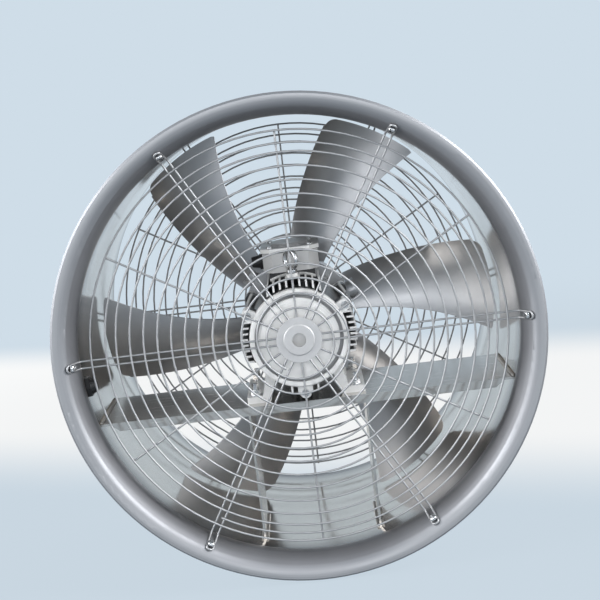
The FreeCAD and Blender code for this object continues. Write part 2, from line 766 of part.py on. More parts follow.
def lid_screw_holes(z0, z1):
    bars = []
    for x, y in lid_screw_places():
        bars.append(rod(LID_SCREW_R + SEAT_GAP, V(x, y, z0 - CUT_PAST), V(x, y, z1 + CUT_PAST)))
    return Part.makeCompound(bars)


def make_gasket():
    inset = 2 * BOX_WALL
    outer = chamfered(BOX_WIDTH, BOX_DEPTH, BOX_CHAMFER, BOX_TOP_Z, LID_Z)
    inner = chamfered(BOX_WIDTH - inset, BOX_DEPTH - inset, BOX_CHAMFER + LID_SCREW_INSET, BOX_TOP_Z, LID_Z)
    return outer.cut(inner).cut(lid_screw_holes(BOX_TOP_Z, LID_Z))


def make_lid():
    over = 2 * LID_OVERHANG
    top = LID_Z + LID_T
    plate = chamfered(BOX_WIDTH + over, BOX_DEPTH + over, BOX_CHAMFER, LID_Z, top)
    inset = 2 * LID_RISE_INSET
    pan = chamfered(BOX_WIDTH - inset, BOX_DEPTH - inset, BOX_CHAMFER, top, top + LID_RISE)
    upper = [e for e in pan.Edges if e.BoundBox.ZMin > top + LID_RISE / 2]
    pan = pan.makeChamfer(LID_RISE_CHAMFER, upper)
    return joined([plate, pan]).cut(lid_screw_holes(LID_Z, top))


def make_lid_screws():
    top = LID_Z + LID_T
    screws = []
    for x, y in lid_screw_places():
        head = rod(LID_SCREW_HEAD_R, V(x, y, top), V(x, y, top + LID_SCREW_HEAD_H))
        shank = rod(LID_SCREW_R, V(x, y, BOX_TOP_Z - LID_SCREW_LENGTH + CUT_PAST), V(x, y, top))
        screws.append(joined([head, shank]))
    return screws


def make_terminals():
    """Terminal block and its two rows of studs."""
    z0 = BOX_PAD_Z + BOX_WALL
    z1 = z0 + BLOCK_HEIGHT
    y0 = BOX_MIDDLE_Y - BLOCK_DEPTH / 2
    base = block(-BLOCK_WIDTH / 2, BLOCK_WIDTH / 2, y0, y0 + BLOCK_DEPTH, z0, z1)
    studs = []
    for i in (-1, 0, 1):
        for j in (-0.5, 0.5):
            x = i * STUD_PITCH
            y = BOX_MIDDLE_Y + j * STUD_PITCH
            studs.append(rod(STUD_R, V(x, y, z1), V(x, y, z1 + STUD_HEIGHT)))
    return base, studs


def make_lifting_eye():
    foot = V(0, EYE_Y, BOX_PAD_Z)
    collar = rod(EYE_COLLAR_R, foot, foot + AXIS_Z * EYE_COLLAR_H)
    stud = rod(EYE_STUD_R, foot - AXIS_Z * EYE_STUD_LENGTH, foot)
    turn = math.radians(EYE_TURN)
    facing = V(math.sin(turn), math.cos(turn), 0)
    middle = foot + AXIS_Z * (EYE_COLLAR_H + EYE_RING_R + EYE_WIRE_R / 2)
    corners = [polar(EYE_WIRE_R, 45 * i) for i in range(8)]
    eye = turned([(EYE_RING_R + p.x, p.z) for p in corners])
    eye.Placement = FreeCAD.Placement(middle, FreeCAD.Rotation(AXIS_Y, facing))
    return joined([collar, stud, eye])


# Cable glands

def make_gland(thread_r, frame):
    """Body, cap and lock nut of a cable gland set in a wall."""
    point, out, wall = frame
    across = thread_r * GLAND_HEX_RATIO
    foot = -wall - GLAND_TAIL
    end = GLAND_FLANGE_T + GLAND_CAP_LENGTH
    bore = upright(thread_r * GLAND_BORE_RATIO, foot - CUT_PAST, 0)
    seal = upright(thread_r * GLAND_SEAL_RATIO, -CUT_PAST, end + CUT_PAST)
    body = joined([hex_prism(across, GLAND_FLANGE_T), upright(thread_r, foot, 0)]).cut(bore).cut(seal)
    cap_foot = V(0, 0, GLAND_FLANGE_T)
    cap = Part.makeCone(thread_r * GLAND_CAP_RATIO, thread_r * GLAND_TIP_RATIO, GLAND_CAP_LENGTH, cap_foot)
    nut = hex_prism(across, LOCKNUT_T, -wall - LOCKNUT_T)
    nut = nut.cut(upright(thread_r + PRESS_GAP, -wall - LOCKNUT_T - CUT_PAST, 0))
    return [placed(piece, point, out) for piece in (body, cap.cut(seal), nut)]


def wall_gland_frame():
    """Place of the wall gland, its direction into the duct and the wall's thickness under its flat flange."""
    corner = WALL_GLAND_R * GLAND_HEX_RATIO / math.sqrt(3)
    hollow = corner ** 2 / (2 * THROAT_R) + PRESS_GAP
    inward = polar(-1, WALL_GLAND_ANGLE)
    return polar(THROAT_R - hollow, WALL_GLAND_ANGLE, WALL_GLAND_Y), inward, SHEET + hollow + PRESS_GAP


# Wire guards, made for the front; the rear ones are the same pieces turned round

def spiral_radius(half_turns):
    """Radius of the spiral after a number of half turns from its inner end."""
    inner = min(half_turns, 2 * SPIRAL_TURNS)
    edge = half_turns - inner
    return SPIRAL_INNER_R + inner * SPIRAL_PITCH / 2 + edge * EDGE_PITCH / 2


def spiral_arcs():
    """Half-turn arcs of the spiral, each tangent to the next."""
    y = FRONT * SPIRAL_W
    count = 2 * (SPIRAL_TURNS + EDGE_TURNS)
    ends = [polar(spiral_radius(k) * (-1) ** k, SPIRAL_START, y) for k in range(count + 1)]
    arcs = []
    for k in range(count):
        centre = (ends[k] + ends[k + 1]) / 2
        radius = (ends[k] - centre).Length
        crown = centre + polar(radius * (-1) ** k, SPIRAL_START - 90)
        arcs.append(Part.Arc(ends[k], crown, ends[k + 1]).toShape())
    return arcs


def least_turn_gap(arcs):
    """Least free space between neighbouring turns, measured on points along the spiral."""
    points = [arc.discretize(Number=25) for arc in arcs]
    least = SPIRAL_OUTER_R
    for k in range(len(arcs) - 2):
        for p in points[k]:
            least = min(least, min((p - q).Length for q in points[k + 2]))
    return least - GUARD_WIRE


def wire_section(point, across, up):
    """Square wire section at a point, with its sides along two directions."""
    a = across * (GUARD_WIRE / 2)
    b = up * (GUARD_WIRE / 2)
    corners = [point + a + b, point - a + b, point - a - b, point + a - b]
    return Part.makePolygon(corners + corners[:1])


def make_spiral():
    arcs = spiral_arcs()
    print("least gap between spiral turns: %.1f mm" % least_turn_gap(arcs))
    start = arcs[0].valueAt(arcs[0].FirstParameter)
    section = wire_section(start, polar(1, SPIRAL_START), AXIS_Y)
    return Part.Wire(arcs).makePipeShell([section], True, False)


def make_arm(angle):
    """Hairpin arm: two legs out from the centre, bent up the bellmouth and looped round the screw."""
    radial = polar(1, angle)
    across = polar(1, angle + 90)
    (r, y), (nr, ny), (mr, my) = bell_point(FRONT, GUARD_SCREW_SLOPE)
    slope = polar(mr, angle, my)
    lift = GUARD_WIRE / 2 + SEAT_GAP
    loop = polar(r + nr * lift, angle, y + ny * lift)
    arm_y = FRONT * ARM_W
    corner = loop + slope * ((arm_y - loop.y) / my)
    half = ARM_SPACING / 2
    setback = ARM_BEND_R * math.tan(math.acos(mr) / 2)
    bulge = ARM_BEND_R * (1 / math.cos(math.acos(mr) / 2) - 1)
    bisector = (slope - radial).normalize()
    edges = []
    for offset in (across * half, across * -half):
        inner = polar(ARM_INNER_R, angle, arm_y) + offset
        bend = corner + offset
        a = bend - radial * setback
        b = bend + slope * setback
        leg = [Part.LineSegment(inner, a).toShape()]
        leg.append(Part.Arc(a, bend + bisector * bulge, b).toShape())
        leg.append(Part.LineSegment(b, loop + offset).toShape())
        edges += leg
    edges.append(Part.Arc(loop + across * half, loop + slope * half, loop - across * half).toShape())
    path = Part.Wire(Part.__sortEdges__(edges))
    start = polar(ARM_INNER_R, angle, arm_y) + across * half
    return path.makePipeShell([wire_section(start, across, AXIS_Y)], True, False)


def make_spoke(angle):
    y = FRONT * ARM_W
    start = polar(ARM_INNER_R, angle, y)
    end = polar(SPIRAL_OUTER_R, angle, y)
    section = Part.Face(wire_section(start, polar(1, angle + 90), AXIS_Y))
    return section.extrude(end - start)


def make_disc():
    back = ARM_W + GUARD_WIRE / 2 + SEAT_GAP
    step_r = DISC_STEP_R + DISC_STEP
    profile = [
        (DISC_R, back),
        (DISC_R, back + DISC_T),
        (step_r, back + DISC_T),
        (DISC_STEP_R, back + DISC_T + DISC_STEP),
        (DISC_HOLE_R, back + DISC_T + DISC_STEP),
        (DISC_HOLE_R, back + DISC_STEP),
        (DISC_STEP_R, back + DISC_STEP),
        (step_r, back),
    ]
    return turned([(r, FRONT * w) for r, w in profile])


def make_guard_fasteners():
    """Screws with domed heads over the wire loops, and nuts behind the bellmouth."""
    grip = GUARD_WIRE + 2 * SEAT_GAP
    nut_corner = GUARD_NUT_HEX / math.sqrt(3)
    hollow_r = bell_radii()[0] - SHEET
    nut_top = -SHEET - nut_corner ** 2 / (2 * hollow_r) - SEAT_GAP
    shank = upright(GUARD_SCREW_R, nut_top - GUARD_NUT_T - THREAD_END, grip)
    head = Part.makeCone(GUARD_HEAD_R, GUARD_HEAD_TOP_R, GUARD_HEAD_H, V(0, 0, grip))
    screw = joined([head, shank])
    nut = hex_prism(GUARD_NUT_HEX, GUARD_NUT_T, nut_top - GUARD_NUT_T)
    nut = nut.cut(upright(GUARD_SCREW_R + PRESS_GAP, nut_top - GUARD_NUT_T - CUT_PAST, nut_top + CUT_PAST))
    screws = []
    nuts = []
    for side in (FRONT, REAR):
        for angle in ARM_ANGLES:
            point, normal = guard_screw_frame(side, angle)
            screws.append(placed(screw, point, normal))
            nuts.append(placed(nut, point, normal))
    return screws, nuts


def turned_round(shape):
    """The same piece at the other end of the casing."""
    copy = shape.copy()
    copy.rotate(ORIGIN, AXIS_Z, 180)
    return copy


# Foot fasteners

def make_foot_fasteners():
    """Bolts up through the plate, with a washer and a nut on each foot."""
    under = PLATE_TOP - PLATE_T
    pad_top = PLATE_TOP + FOOT_PAD_T
    nut_z = pad_top + FOOT_WASHER_T
    bolts = []
    washers = []
    nuts = []
    for x in (-FOOT_GAUGE / 2, FOOT_GAUGE / 2):
        for y in FOOT_BOLT_Y:
            seat = V(x, y, 0)
            head = hex_prism(FOOT_NUT_HEX, FOOT_HEAD_T, under - FOOT_HEAD_T)
            bolt = joined([head, upright(FOOT_BOLT_R, under, nut_z + FOOT_NUT_T + FOOT_THREAD_END)])
            hole = upright(FOOT_BOLT_R + SEAT_GAP, pad_top - CUT_PAST, nut_z + CUT_PAST)
            washer = upright(FOOT_WASHER_R, pad_top, nut_z).cut(hole)
            thread = upright(FOOT_BOLT_R + PRESS_GAP, nut_z - CUT_PAST, nut_z + FOOT_NUT_T + CUT_PAST)
            nut = hex_prism(FOOT_NUT_HEX, FOOT_NUT_T, nut_z).cut(thread)
            for piece, group in ((bolt, bolts), (washer, washers), (nut, nuts)):
                piece.translate(seat)
                group.append(piece)
    return bolts, washers, nuts


# Impeller

def blade_angles():
    return [BLADE_ANGLE + 360 / BLADE_COUNT * i for i in range(BLADE_COUNT)]


def hub_sockets():
    """Room for the blade stems and their collars, cut half into each half of the hub."""
    bars = []
    for angle in blade_angles():
        reach = polar(STEM_INNER_R - SEAT_GAP, angle, HUB_MIDDLE_Y)
        bars.append(rod(STEM_R + SEAT_GAP, reach, polar(HUB_R + CUT_PAST, angle, HUB_MIDDLE_Y)))
        collar_in = polar(STEM_COLLAR_INNER_R - SEAT_GAP, angle, HUB_MIDDLE_Y)
        collar_out = polar(STEM_COLLAR_OUTER_R + SEAT_GAP, angle, HUB_MIDDLE_Y)
        bars.append(rod(STEM_COLLAR_R + SEAT_GAP, collar_in, collar_out))
    return Part.makeCompound(bars)


def hub_bolt_angles():
    return [angle + 180 / BLADE_COUNT for angle in blade_angles()]


def hub_bolt_bars(radius, y0, y1):
    bars = []
    for angle in hub_bolt_angles():
        p = polar(HUB_BOLT_CIRCLE_R, angle)
        bars.append(axial_rod(radius, y0, y1, p.x, p.z))
    return bars


def make_hub():
    bore_r = SHAFT_R + PRESS_GAP
    boss_end = SHAFT_END_Y + SEAT_GAP
    pocket_y = HUB_FRONT_Y + HUB_POCKET_DEPTH
    body = turned([
        (bore_r, SHOULDER_Y),
        (HUB_BOSS_R, SHOULDER_Y),
        (HUB_BOSS_R, HUB_FRONT_Y),
        (HUB_POCKET_INNER_R, pocket_y),
        (HUB_POCKET_OUTER_R, pocket_y),
        (HUB_POCKET_OUTER_R, HUB_FRONT_Y),
        (HUB_R, HUB_FRONT_Y),
        (HUB_R, HUB_MIDDLE_Y),
        (HUB_BOSS_R, HUB_MIDDLE_Y),
        (HUB_BOSS_R, boss_end),
        (bore_r, boss_end),
    ])
    holes = hub_bolt_bars(HUB_BOLT_R + PRESS_GAP, HUB_FRONT_Y - CUT_PAST, HUB_MIDDLE_Y + CUT_PAST)
    return body.cut(hub_sockets()).cut(Part.makeCompound(holes)).cut(key_shape(PRESS_GAP))


def make_clamp_ring():
    pocket_y = HUB_REAR_Y - HUB_POCKET_DEPTH
    body = turned([
        (HUB_BOSS_R + SEAT_GAP, HUB_MIDDLE_Y),
        (HUB_R, HUB_MIDDLE_Y),
        (HUB_R, HUB_REAR_Y),
        (HUB_POCKET_OUTER_R, HUB_REAR_Y),
        (HUB_POCKET_OUTER_R, pocket_y),
        (HUB_BOSS_R + SEAT_GAP, pocket_y),
    ])
    holes = hub_bolt_bars(HUB_BOLT_R + SEAT_GAP, HUB_MIDDLE_Y - CUT_PAST, HUB_REAR_Y + CUT_PAST)
    return body.cut(hub_sockets()).cut(Part.makeCompound(holes))


def make_hub_bolts():
    shanks = hub_bolt_bars(HUB_BOLT_R, HUB_FRONT_Y, HUB_REAR_Y)
    heads = hub_bolt_bars(HUB_BOLT_HEAD_R, HUB_REAR_Y, HUB_REAR_Y + HUB_BOLT_HEAD_H)
    return [joined([head, shank]) for head, shank in zip(heads, shanks)]


def blade_half_width(height):
    """Half of a blade's width round the fan's axis at a height; it flares a little towards the hub."""
    inward = (TIP_R - height) / (TIP_R - HUB_R)
    return height * math.sin(math.radians(BLADE_HALF_ANGLE)) + BLADE_ROOT_FLARE * inward ** 2


def blade_section(height):
    """Closed aerofoil section square to the swept blade, for the blade whose stem points along +X."""
    span = (height - HUB_R) / (TIP_R - HUB_R)
    half_width = blade_half_width(height)
    half_chord = math.hypot(half_width, BLADE_AXIAL / 2)
    pitch = math.atan2(BLADE_AXIAL / 2, half_width)
    thick = BLADE_ROOT_T + (BLADE_TIP_T - BLADE_ROOT_T) * span
    crown = 2 * BLADE_CAMBER * half_chord
    foot = polar(height, -BLADE_SWEEP * span, HUB_MIDDLE_Y)
    across = polar(1, 90 - BLADE_SWEEP * span)

    def at(x, lift):
        u = x * math.cos(pitch) + lift * math.sin(pitch)
        v = x * math.sin(pitch) - lift * math.cos(pitch)
        return foot + across * u + AXIS_Y * v

    edge = BLADE_EDGE / 2
    a, b = at(-half_chord, edge), at(half_chord, edge)
    c, d = at(half_chord, -edge), at(-half_chord, -edge)
    return Part.Wire([
        Part.Arc(a, at(0, crown + thick / 2), b).toShape(),
        Part.LineSegment(b, c).toShape(),
        Part.Arc(c, at(0, crown - thick / 2), d).toShape(),
        Part.LineSegment(d, a).toShape(),
    ])


def tip_corner(side):
    """What is cut away to round one corner of a blade's tip."""
    u = blade_half_width(TIP_R) - BLADE_CORNER
    h = math.sqrt((TIP_R - BLADE_CORNER) ** 2 - u ** 2)
    y0 = HUB_MIDDLE_Y - BLADE_AXIAL
    y1 = HUB_MIDDLE_Y + BLADE_AXIAL
    u0, u1 = sorted((side * u, side * (u + 3 * BLADE_CORNER)))
    tool = block(h, h + 3 * BLADE_CORNER, y0, y1, u0, u1)
    tool = tool.cut(axial_rod(BLADE_CORNER, y0, y1, h, side * u))
    return about_axis(tool, -BLADE_SWEEP)


def make_blade():
    """Swept and twisted blade whose stem points along +X, with the stem and its retaining collar."""
    root = HUB_R + SEAT_GAP
    heights = [root + (TIP_R + BLADE_EDGE - root) * i / BLADE_SPANS for i in range(BLADE_SPANS + 1)]
    aerofoil = Part.makeLoft([blade_section(h) for h in heights], True)
    aerofoil = aerofoil.common(axial_rod(TIP_R, HUB_MIDDLE_Y - BLADE_AXIAL, HUB_MIDDLE_Y + BLADE_AXIAL))
    aerofoil = aerofoil.cut(tip_corner(-1)).cut(tip_corner(1))
    stations = (
        (STEM_R, STEM_INNER_R, root + ROOT_BOSS_H / 2),
        (STEM_COLLAR_R, STEM_COLLAR_INNER_R, STEM_COLLAR_OUTER_R),
        (ROOT_BOSS_R, root, root + ROOT_BOSS_H),
    )
    stems = [rod(r, V(x0, HUB_MIDDLE_Y, 0), V(x1, HUB_MIDDLE_Y, 0)) for r, x0, x1 in stations]
    return joined(stems + [aerofoil])


def make_end_fixing():
    """Washer over the end of the hub and the screw into the shaft."""
    y0 = SHAFT_END_Y + SEAT_GAP
    y1 = y0 + END_WASHER_T
    washer = ring(END_WASHER_R, END_SCREW_R + SEAT_GAP, y0, y1)
    head = axial_rod(END_SCREW_HEAD_R, y1, y1 + END_SCREW_HEAD_H)
    return washer, joined([head, axial_rod(END_SCREW_R, SHAFT_END_Y - END_SCREW_LENGTH, y1)])


os.makedirs("parts", exist_ok=True)

save("casing", make_casing())
save("motor_base_plate", make_base_plate())
save("strut_left", make_strut(-1))
save("strut_right", make_strut(1))

save("motor_frame", make_frame())
save("motor_foot_left", make_foot(-1))
save("motor_foot_right", make_foot(1))
save("end_shield_front", make_front_shield())
save("end_shield_rear", make_rear_shield())
save("end_shield_bolts", *make_shield_bolts())
save("stator_core", ring(FRAME_BORE_R - PRESS_GAP, ROTOR_R + AIR_GAP, CORE_FRONT_Y, CORE_REAR_Y))
save("stator_winding_front", make_winding(CORE_FRONT_Y - WINDING_LENGTH))
save("stator_winding_rear", make_winding(CORE_REAR_Y))

front_outer, front_inner = make_bearing(FRONT_BEARING_Y)
rear_outer, rear_inner = make_bearing(REAR_BEARING_Y)
save("bearing_outer_rings", front_outer, rear_outer)
save("bearing_inner_rings", front_inner, rear_inner)
washer_y = FRONT_BEARING_Y - WAVE_WASHER_T
washer_bore_r = BEARING_BORE_R + RING_T + WAVE_WASHER_REST
save("wave_washer", ring(BEARING_OUTER_R - RUN_GAP, washer_bore_r, washer_y, FRONT_BEARING_Y))
seal_y = FRAME_REAR_Y + REAR_SHIELD_DEPTH
save("shaft_seal", ring(SEAL_R, BEARING_BORE_R + RUN_GAP, seal_y - SEAL_DEPTH, seal_y))
save("rotor_shaft", make_shaft())
save("rotor_core", make_rotor_core())
save("shaft_key", key_shape(0))

save("terminal_box", make_terminal_box())
save("terminal_box_gasket", make_gasket())
save("terminal_box_lid", make_lid())
save("terminal_box_lid_screws", *make_lid_screws())
terminal_block, terminal_studs = make_terminals()
save("terminal_block", terminal_block)
save("terminal_studs", *terminal_studs)
save("lifting_eye", make_lifting_eye())

box_body, box_cap, box_nut = make_gland(BOX_GLAND_R, box_gland_frame())
wall_body, wall_cap, wall_nut = make_gland(WALL_GLAND_R, wall_gland_frame())
save("terminal_gland_body", box_body)
save("terminal_gland_cap", box_cap)
save("wall_gland_body", wall_body)
save("wall_gland_cap", wall_cap)
save("gland_locknuts", box_nut, wall_nut)

foot_bolts, foot_washers, foot_nuts = make_foot_fasteners()
save("foot_bolts", *foot_bolts)
save("foot_washers", *foot_washers)
save("foot_nuts", *foot_nuts)

spiral = make_spiral()
arms = [make_arm(angle) for angle in ARM_ANGLES]
spokes = [make_spoke(angle + 180 / ARM_COUNT) for angle in ARM_ANGLES]
disc = make_disc()
save("front_guard_spiral", spiral)
save("front_guard_arms", *arms)
save("front_guard_spokes", *spokes)
save("rear_guard_spiral", turned_round(spiral))
save("rear_guard_arms", *[turned_round(arm) for arm in arms])
save("rear_guard_spokes", *[turned_round(spoke) for spoke in spokes])
save("guard_discs", disc, turned_round(disc))
guard_screws, guard_nuts = make_guard_fasteners()
save("guard_screws", *guard_screws)
save("guard_nuts", *guard_nuts)

save("impeller_hub", make_hub())
save("hub_clamp_ring", make_clamp_ring())
save("hub_bolts", *make_hub_bolts())
end_washer, end_screw = make_end_fixing()
save("hub_end_washer", end_washer)
save("hub_end_screw", end_screw)
blade = make_blade()
for number, angle in enumerate(blade_angles(), 1):
    save("blade_%d" % number, about_axis(blade, angle))
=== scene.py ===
import bpy
import math
from mathutils import Matrix, Vector


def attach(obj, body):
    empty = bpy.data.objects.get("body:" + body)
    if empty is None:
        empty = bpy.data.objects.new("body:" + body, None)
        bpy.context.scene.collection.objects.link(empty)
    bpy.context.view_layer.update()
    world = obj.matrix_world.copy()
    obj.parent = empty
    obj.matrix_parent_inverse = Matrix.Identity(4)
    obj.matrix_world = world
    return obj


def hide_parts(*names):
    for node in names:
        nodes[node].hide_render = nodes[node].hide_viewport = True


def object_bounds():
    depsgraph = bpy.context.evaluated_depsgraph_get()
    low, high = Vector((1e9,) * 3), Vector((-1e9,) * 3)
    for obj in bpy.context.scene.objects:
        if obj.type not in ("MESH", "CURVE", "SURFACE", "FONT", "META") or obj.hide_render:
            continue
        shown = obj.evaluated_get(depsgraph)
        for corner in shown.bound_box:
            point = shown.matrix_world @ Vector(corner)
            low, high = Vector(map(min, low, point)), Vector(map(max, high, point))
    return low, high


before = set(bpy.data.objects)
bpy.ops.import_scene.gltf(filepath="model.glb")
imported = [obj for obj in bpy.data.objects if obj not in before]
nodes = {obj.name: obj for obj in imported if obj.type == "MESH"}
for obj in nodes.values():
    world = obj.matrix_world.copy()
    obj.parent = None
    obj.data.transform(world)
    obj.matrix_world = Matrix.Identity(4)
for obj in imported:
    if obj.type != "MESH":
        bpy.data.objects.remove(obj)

cad_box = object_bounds()


# Casing: the short round duct with a flared bellmouth and a rolled edge at each end.
# Stainless sheet, rolled up, seam-welded, spun over a former and trimmed; satin outside
# and on the flares, and bright in the bore.
RING_WIDTH = 0.003
RING_RUN = 0.375
SMEAR = 0.09
FLARE_START = 0.166
FLARE_END = 0.182
OUTSIDE_R = 0.3008
BORE_ROUGH = 0.1
SATIN_ROUGH = 0.46
SATIN_METAL = 0.7
LOOKS_OUT = 0.01  # a face that turns from the axis by more than this is an outside one
THROAT_SHADE_FROM = 0.130
THROAT_SHADE_FULL = 0.172
THROAT_SHADE_DEEPEST_R = 0.302
THROAT_SHADE_END_R = 0.328
THROAT_SHADE_AT_RIM = 0.4
OUTSIDE_DUST = 0.85
DUST_AND_SHADE_TINT = "#AEAFB2"
FIRST, SECOND, MIXED = 6, 7, 2  # a Mix node's two colours and its result


def linear(code):
    """Linear colour from an sRGB hex code."""
    parts = [int(code[i:i + 2], 16) / 255 for i in (1, 3, 5)]
    return [c / 12.92 if c < 0.04045 else ((c + 0.055) / 1.055) ** 2.4 for c in parts] + [1.0]


def give(tree, socket, value):
    """Link a socket to an output, or set it to a value or to a colour's hex code."""
    if isinstance(value, bpy.types.NodeSocket):
        tree.links.new(value, socket)
    elif isinstance(value, str):
        socket.default_value = linear(value)
    else:
        socket.default_value = value


def add(tree, kind, inputs=None, **settings):
    """Add one shader node with its settings, and link or set its inputs."""
    made = tree.nodes.new("ShaderNode" + kind)
    for name, value in settings.items():
        setattr(made, name, value)
    for socket, value in (inputs or {}).items():
        give(tree, made.inputs[socket], value)
    return made


def new_finish(name):
    """New material, its node tree, its surface shader and its object coordinates."""
    material = bpy.data.materials.new(name)
    material.use_nodes = True
    tree = material.node_tree
    place = add(tree, "TexCoord").outputs["Object"]
    return material, tree, tree.nodes["Principled BSDF"], place


def feed(tree, surface, **inputs):
    """Link or set the surface shader's inputs, named with underscores for spaces."""
    for name, value in inputs.items():
        give(tree, surface.inputs[name.replace("_", " ")], value)


def dress(material, *names):
    """Give a material to CAD nodes."""
    for name in names:
        mesh = nodes[name].data
        mesh.materials.clear()
        mesh.materials.append(material)


def from_axis(tree, place):
    """X, Y and Z of a point, and its distance from the fan's axis."""
    at = add(tree, "SeparateXYZ", {0: place}).outputs
    across = add(tree, "CombineXYZ", {0: at["X"], 1: at["Z"]})
    radius = add(tree, "VectorMath", {0: across.outputs[0]}, operation="LENGTH")
    return at, radius.outputs["Value"]


# Spun stainless gives a neutral grey with fine rings round the axis, satin outside and on the flares and
# nearly a mirror in the bore. The rings are drawn 3 mm wide, coarser than the tool left them, so that they
# show. A grey dust tint dulls the outside evenly; inside each mouth the same tint is painted shade, darkest
# where the flare turns into the bore, fading into the bore and out towards the rim.
spun_stainless, tree, surface, place = new_finish("spun_stainless")
at, radius = from_axis(tree, place)
depth = add(tree, "Math", {0: at["Y"]}, operation="ABSOLUTE").outputs[0]
along = add(tree, "Math", {0: depth, 1: radius}, operation="ADD").outputs[0]
rings = add(tree, "CombineXYZ", {0: at["X"], 1: along, 2: at["Z"]})
ring_scale = (1 / RING_RUN, 1 / RING_WIDTH, 1 / RING_RUN)
stretch = add(tree, "Mapping", {"Vector": rings.outputs[0], "Scale": ring_scale})
marks = add(tree, "TexNoise", {"Vector": stretch.outputs[0], "Scale": 1.0, "Detail": 3.0}).outputs["Fac"]
smears = add(tree, "TexNoise", {"Vector": place, "Scale": 1 / SMEAR, "Detail": 4.0}).outputs["Fac"]

flare = add(tree, "MapRange", {"Value": depth, "From Min": FLARE_START, "From Max": FLARE_END})
outside = add(tree, "Math", {0: radius, 1: OUTSIDE_R}, operation="GREATER_THAN")
dull = add(tree, "Math", {0: flare.outputs[0], 1: outside.outputs[0]}, operation="MAXIMUM").outputs[0]
satin = add(tree, "MapRange", {"Value": dull, "To Min": BORE_ROUGH, "To Max": SATIN_ROUGH})
metal = add(tree, "MapRange", {"Value": dull, "To Min": 1.0, "To Max": SATIN_METAL})
grain = add(tree, "MapRange", {"Value": marks, "From Min": 0.3, "From Max": 0.7,
                               "To Min": -0.02, "To Max": 0.04})
handled = add(tree, "MapRange", {"Value": smears, "From Min": 0.4, "From Max": 0.7,
                                 "To Min": 0.0, "To Max": 0.08})
rough = add(tree, "Math", {0: satin.outputs[0], 1: grain.outputs[0]}, operation="ADD")
rough = add(tree, "Math", {0: rough.outputs[0], 1: handled.outputs[0]}, operation="ADD")

bright = add(tree, "Mix", {"Factor": smears, FIRST: "#D8D1C9", SECOND: "#E4DED6"}, data_type="RGBA")
brushed = add(tree, "Mix", {"Factor": marks, FIRST: "#A3A4A7", SECOND: "#B1B2B5"}, data_type="RGBA")
tone = add(tree, "Mix", {"Factor": dull, FIRST: bright.outputs[MIXED], SECOND: brushed.outputs[MIXED]},
           data_type="RGBA")
facing = add(tree, "NewGeometry").outputs["Normal"]
radial = add(tree, "VectorMath", {0: place, 1: (1.0, 0.0, 1.0)}, operation="MULTIPLY")
outwards = add(tree, "VectorMath", {0: facing, 1: radial.outputs[0]}, operation="DOT_PRODUCT")
inside = add(tree, "Math", {0: outwards.outputs["Value"], 1: LOOKS_OUT}, operation="LESS_THAN")
# Painted shade inside: the tint grows from the bore to the throat and thins over the flare to the rim.
mouth = add(tree, "MapRange", {"Value": depth, "From Min": THROAT_SHADE_FROM, "From Max": THROAT_SHADE_FULL})
thick = add(tree, "MapRange", {"Value": radius, "From Min": THROAT_SHADE_DEEPEST_R, "From Max": THROAT_SHADE_END_R,
                               "To Min": 1.0, "To Max": THROAT_SHADE_AT_RIM})
dust_and_shade = add(tree, "Math", {0: mouth.outputs[0], 1: thick.outputs[0]}, operation="MULTIPLY")
dust_and_shade = add(tree, "Mix", {"Factor": inside.outputs[0], "A": OUTSIDE_DUST, "B": dust_and_shade.outputs[0]})
tone = add(tree, "Mix", {"Factor": dust_and_shade.outputs["Result"], FIRST: tone.outputs[MIXED], SECOND: DUST_AND_SHADE_TINT},
           data_type="RGBA", blend_type="MULTIPLY")
ridge = add(tree, "Bump", {"Height": marks, "Strength": 0.03, "Distance": 0.0004})
feed(tree, surface, Base_Color=tone.outputs[MIXED], Roughness=rough.outputs[0], Normal=ridge.outputs[0],
     Metallic=metal.outputs[0])
dress(spun_stainless, "casing")


# Base plate and struts: a folded bridge plate across the duct and two upright sheets below it.
# Cold-rolled stainless, sheared, folded and welded to the casing.
# It gives a clear grey metal with faint streaks where the rolls ran, 2 mm wide, across the duct.
GRAIN_LENGTH = 0.08
GRAIN_WIDTH = 0.002
rolled_stainless, tree, surface, place = new_finish("rolled_stainless")
grain_scale = (1 / GRAIN_LENGTH, 1 / GRAIN_WIDTH, 1 / GRAIN_WIDTH)
stretch = add(tree, "Mapping", {"Vector": place, "Scale": grain_scale})
rolled = add(tree, "TexNoise", {"Vector": stretch.outputs[0], "Scale": 1.0, "Detail": 4.0}).outputs["Fac"]
tone = add(tree, "Mix", {"Factor": rolled, FIRST: "#B6B3AF", SECOND: "#C2BFBB"}, data_type="RGBA")
rough = add(tree, "MapRange", {"Value": rolled, "From Min": 0.3, "From Max": 0.7,
                               "To Min": 0.2, "To Max": 0.28})
ridge = add(tree, "Bump", {"Height": rolled, "Strength": 0.015, "Distance": 0.0002})
feed(tree, surface, Base_Color=tone.outputs[MIXED], Roughness=rough.outputs[0], Normal=ridge.outputs[0],
     Metallic=1.0)
dress(rolled_stainless, "motor_base_plate", "strut_left", "strut_right")


# Motor castings: finned frame, feet, end shields, terminal box and lid.
# Die-cast aluminium, trimmed, sprayed with pale silver-grey paint and bolted together.
PEEL = 0.002
CLOUD = 0.025
BOX_SHADE_SHARE = 0.7
BOX_SHADE_GREY = "#A9AAAC"
LID_EDGE = 0.1173
LID_FACE = 0.1179
LID_TOP_SHADE = "#8E9093"
FRAME_END = -0.1655
PAD_FROM = -0.126
FIN_ROOT = 0.070
FIN_FLANK = 0.0765
FIN_TIP = 0.0785
FIN_PAST = 0.081
TOP_FINS_X = 0.0375
SIDE_FINS_Z = 0.029
CORNER_UNSHADED = 0.8
FIN_SHADE = "#2A2B2D"
GROOVE_INNER = 0.0555
GROOVE_OUTER = 0.0605
GROOVE_MOUTH = -0.178
GROOVE_FLOOR = -0.173
GROOVE_SHADE = "#A3A4A7"


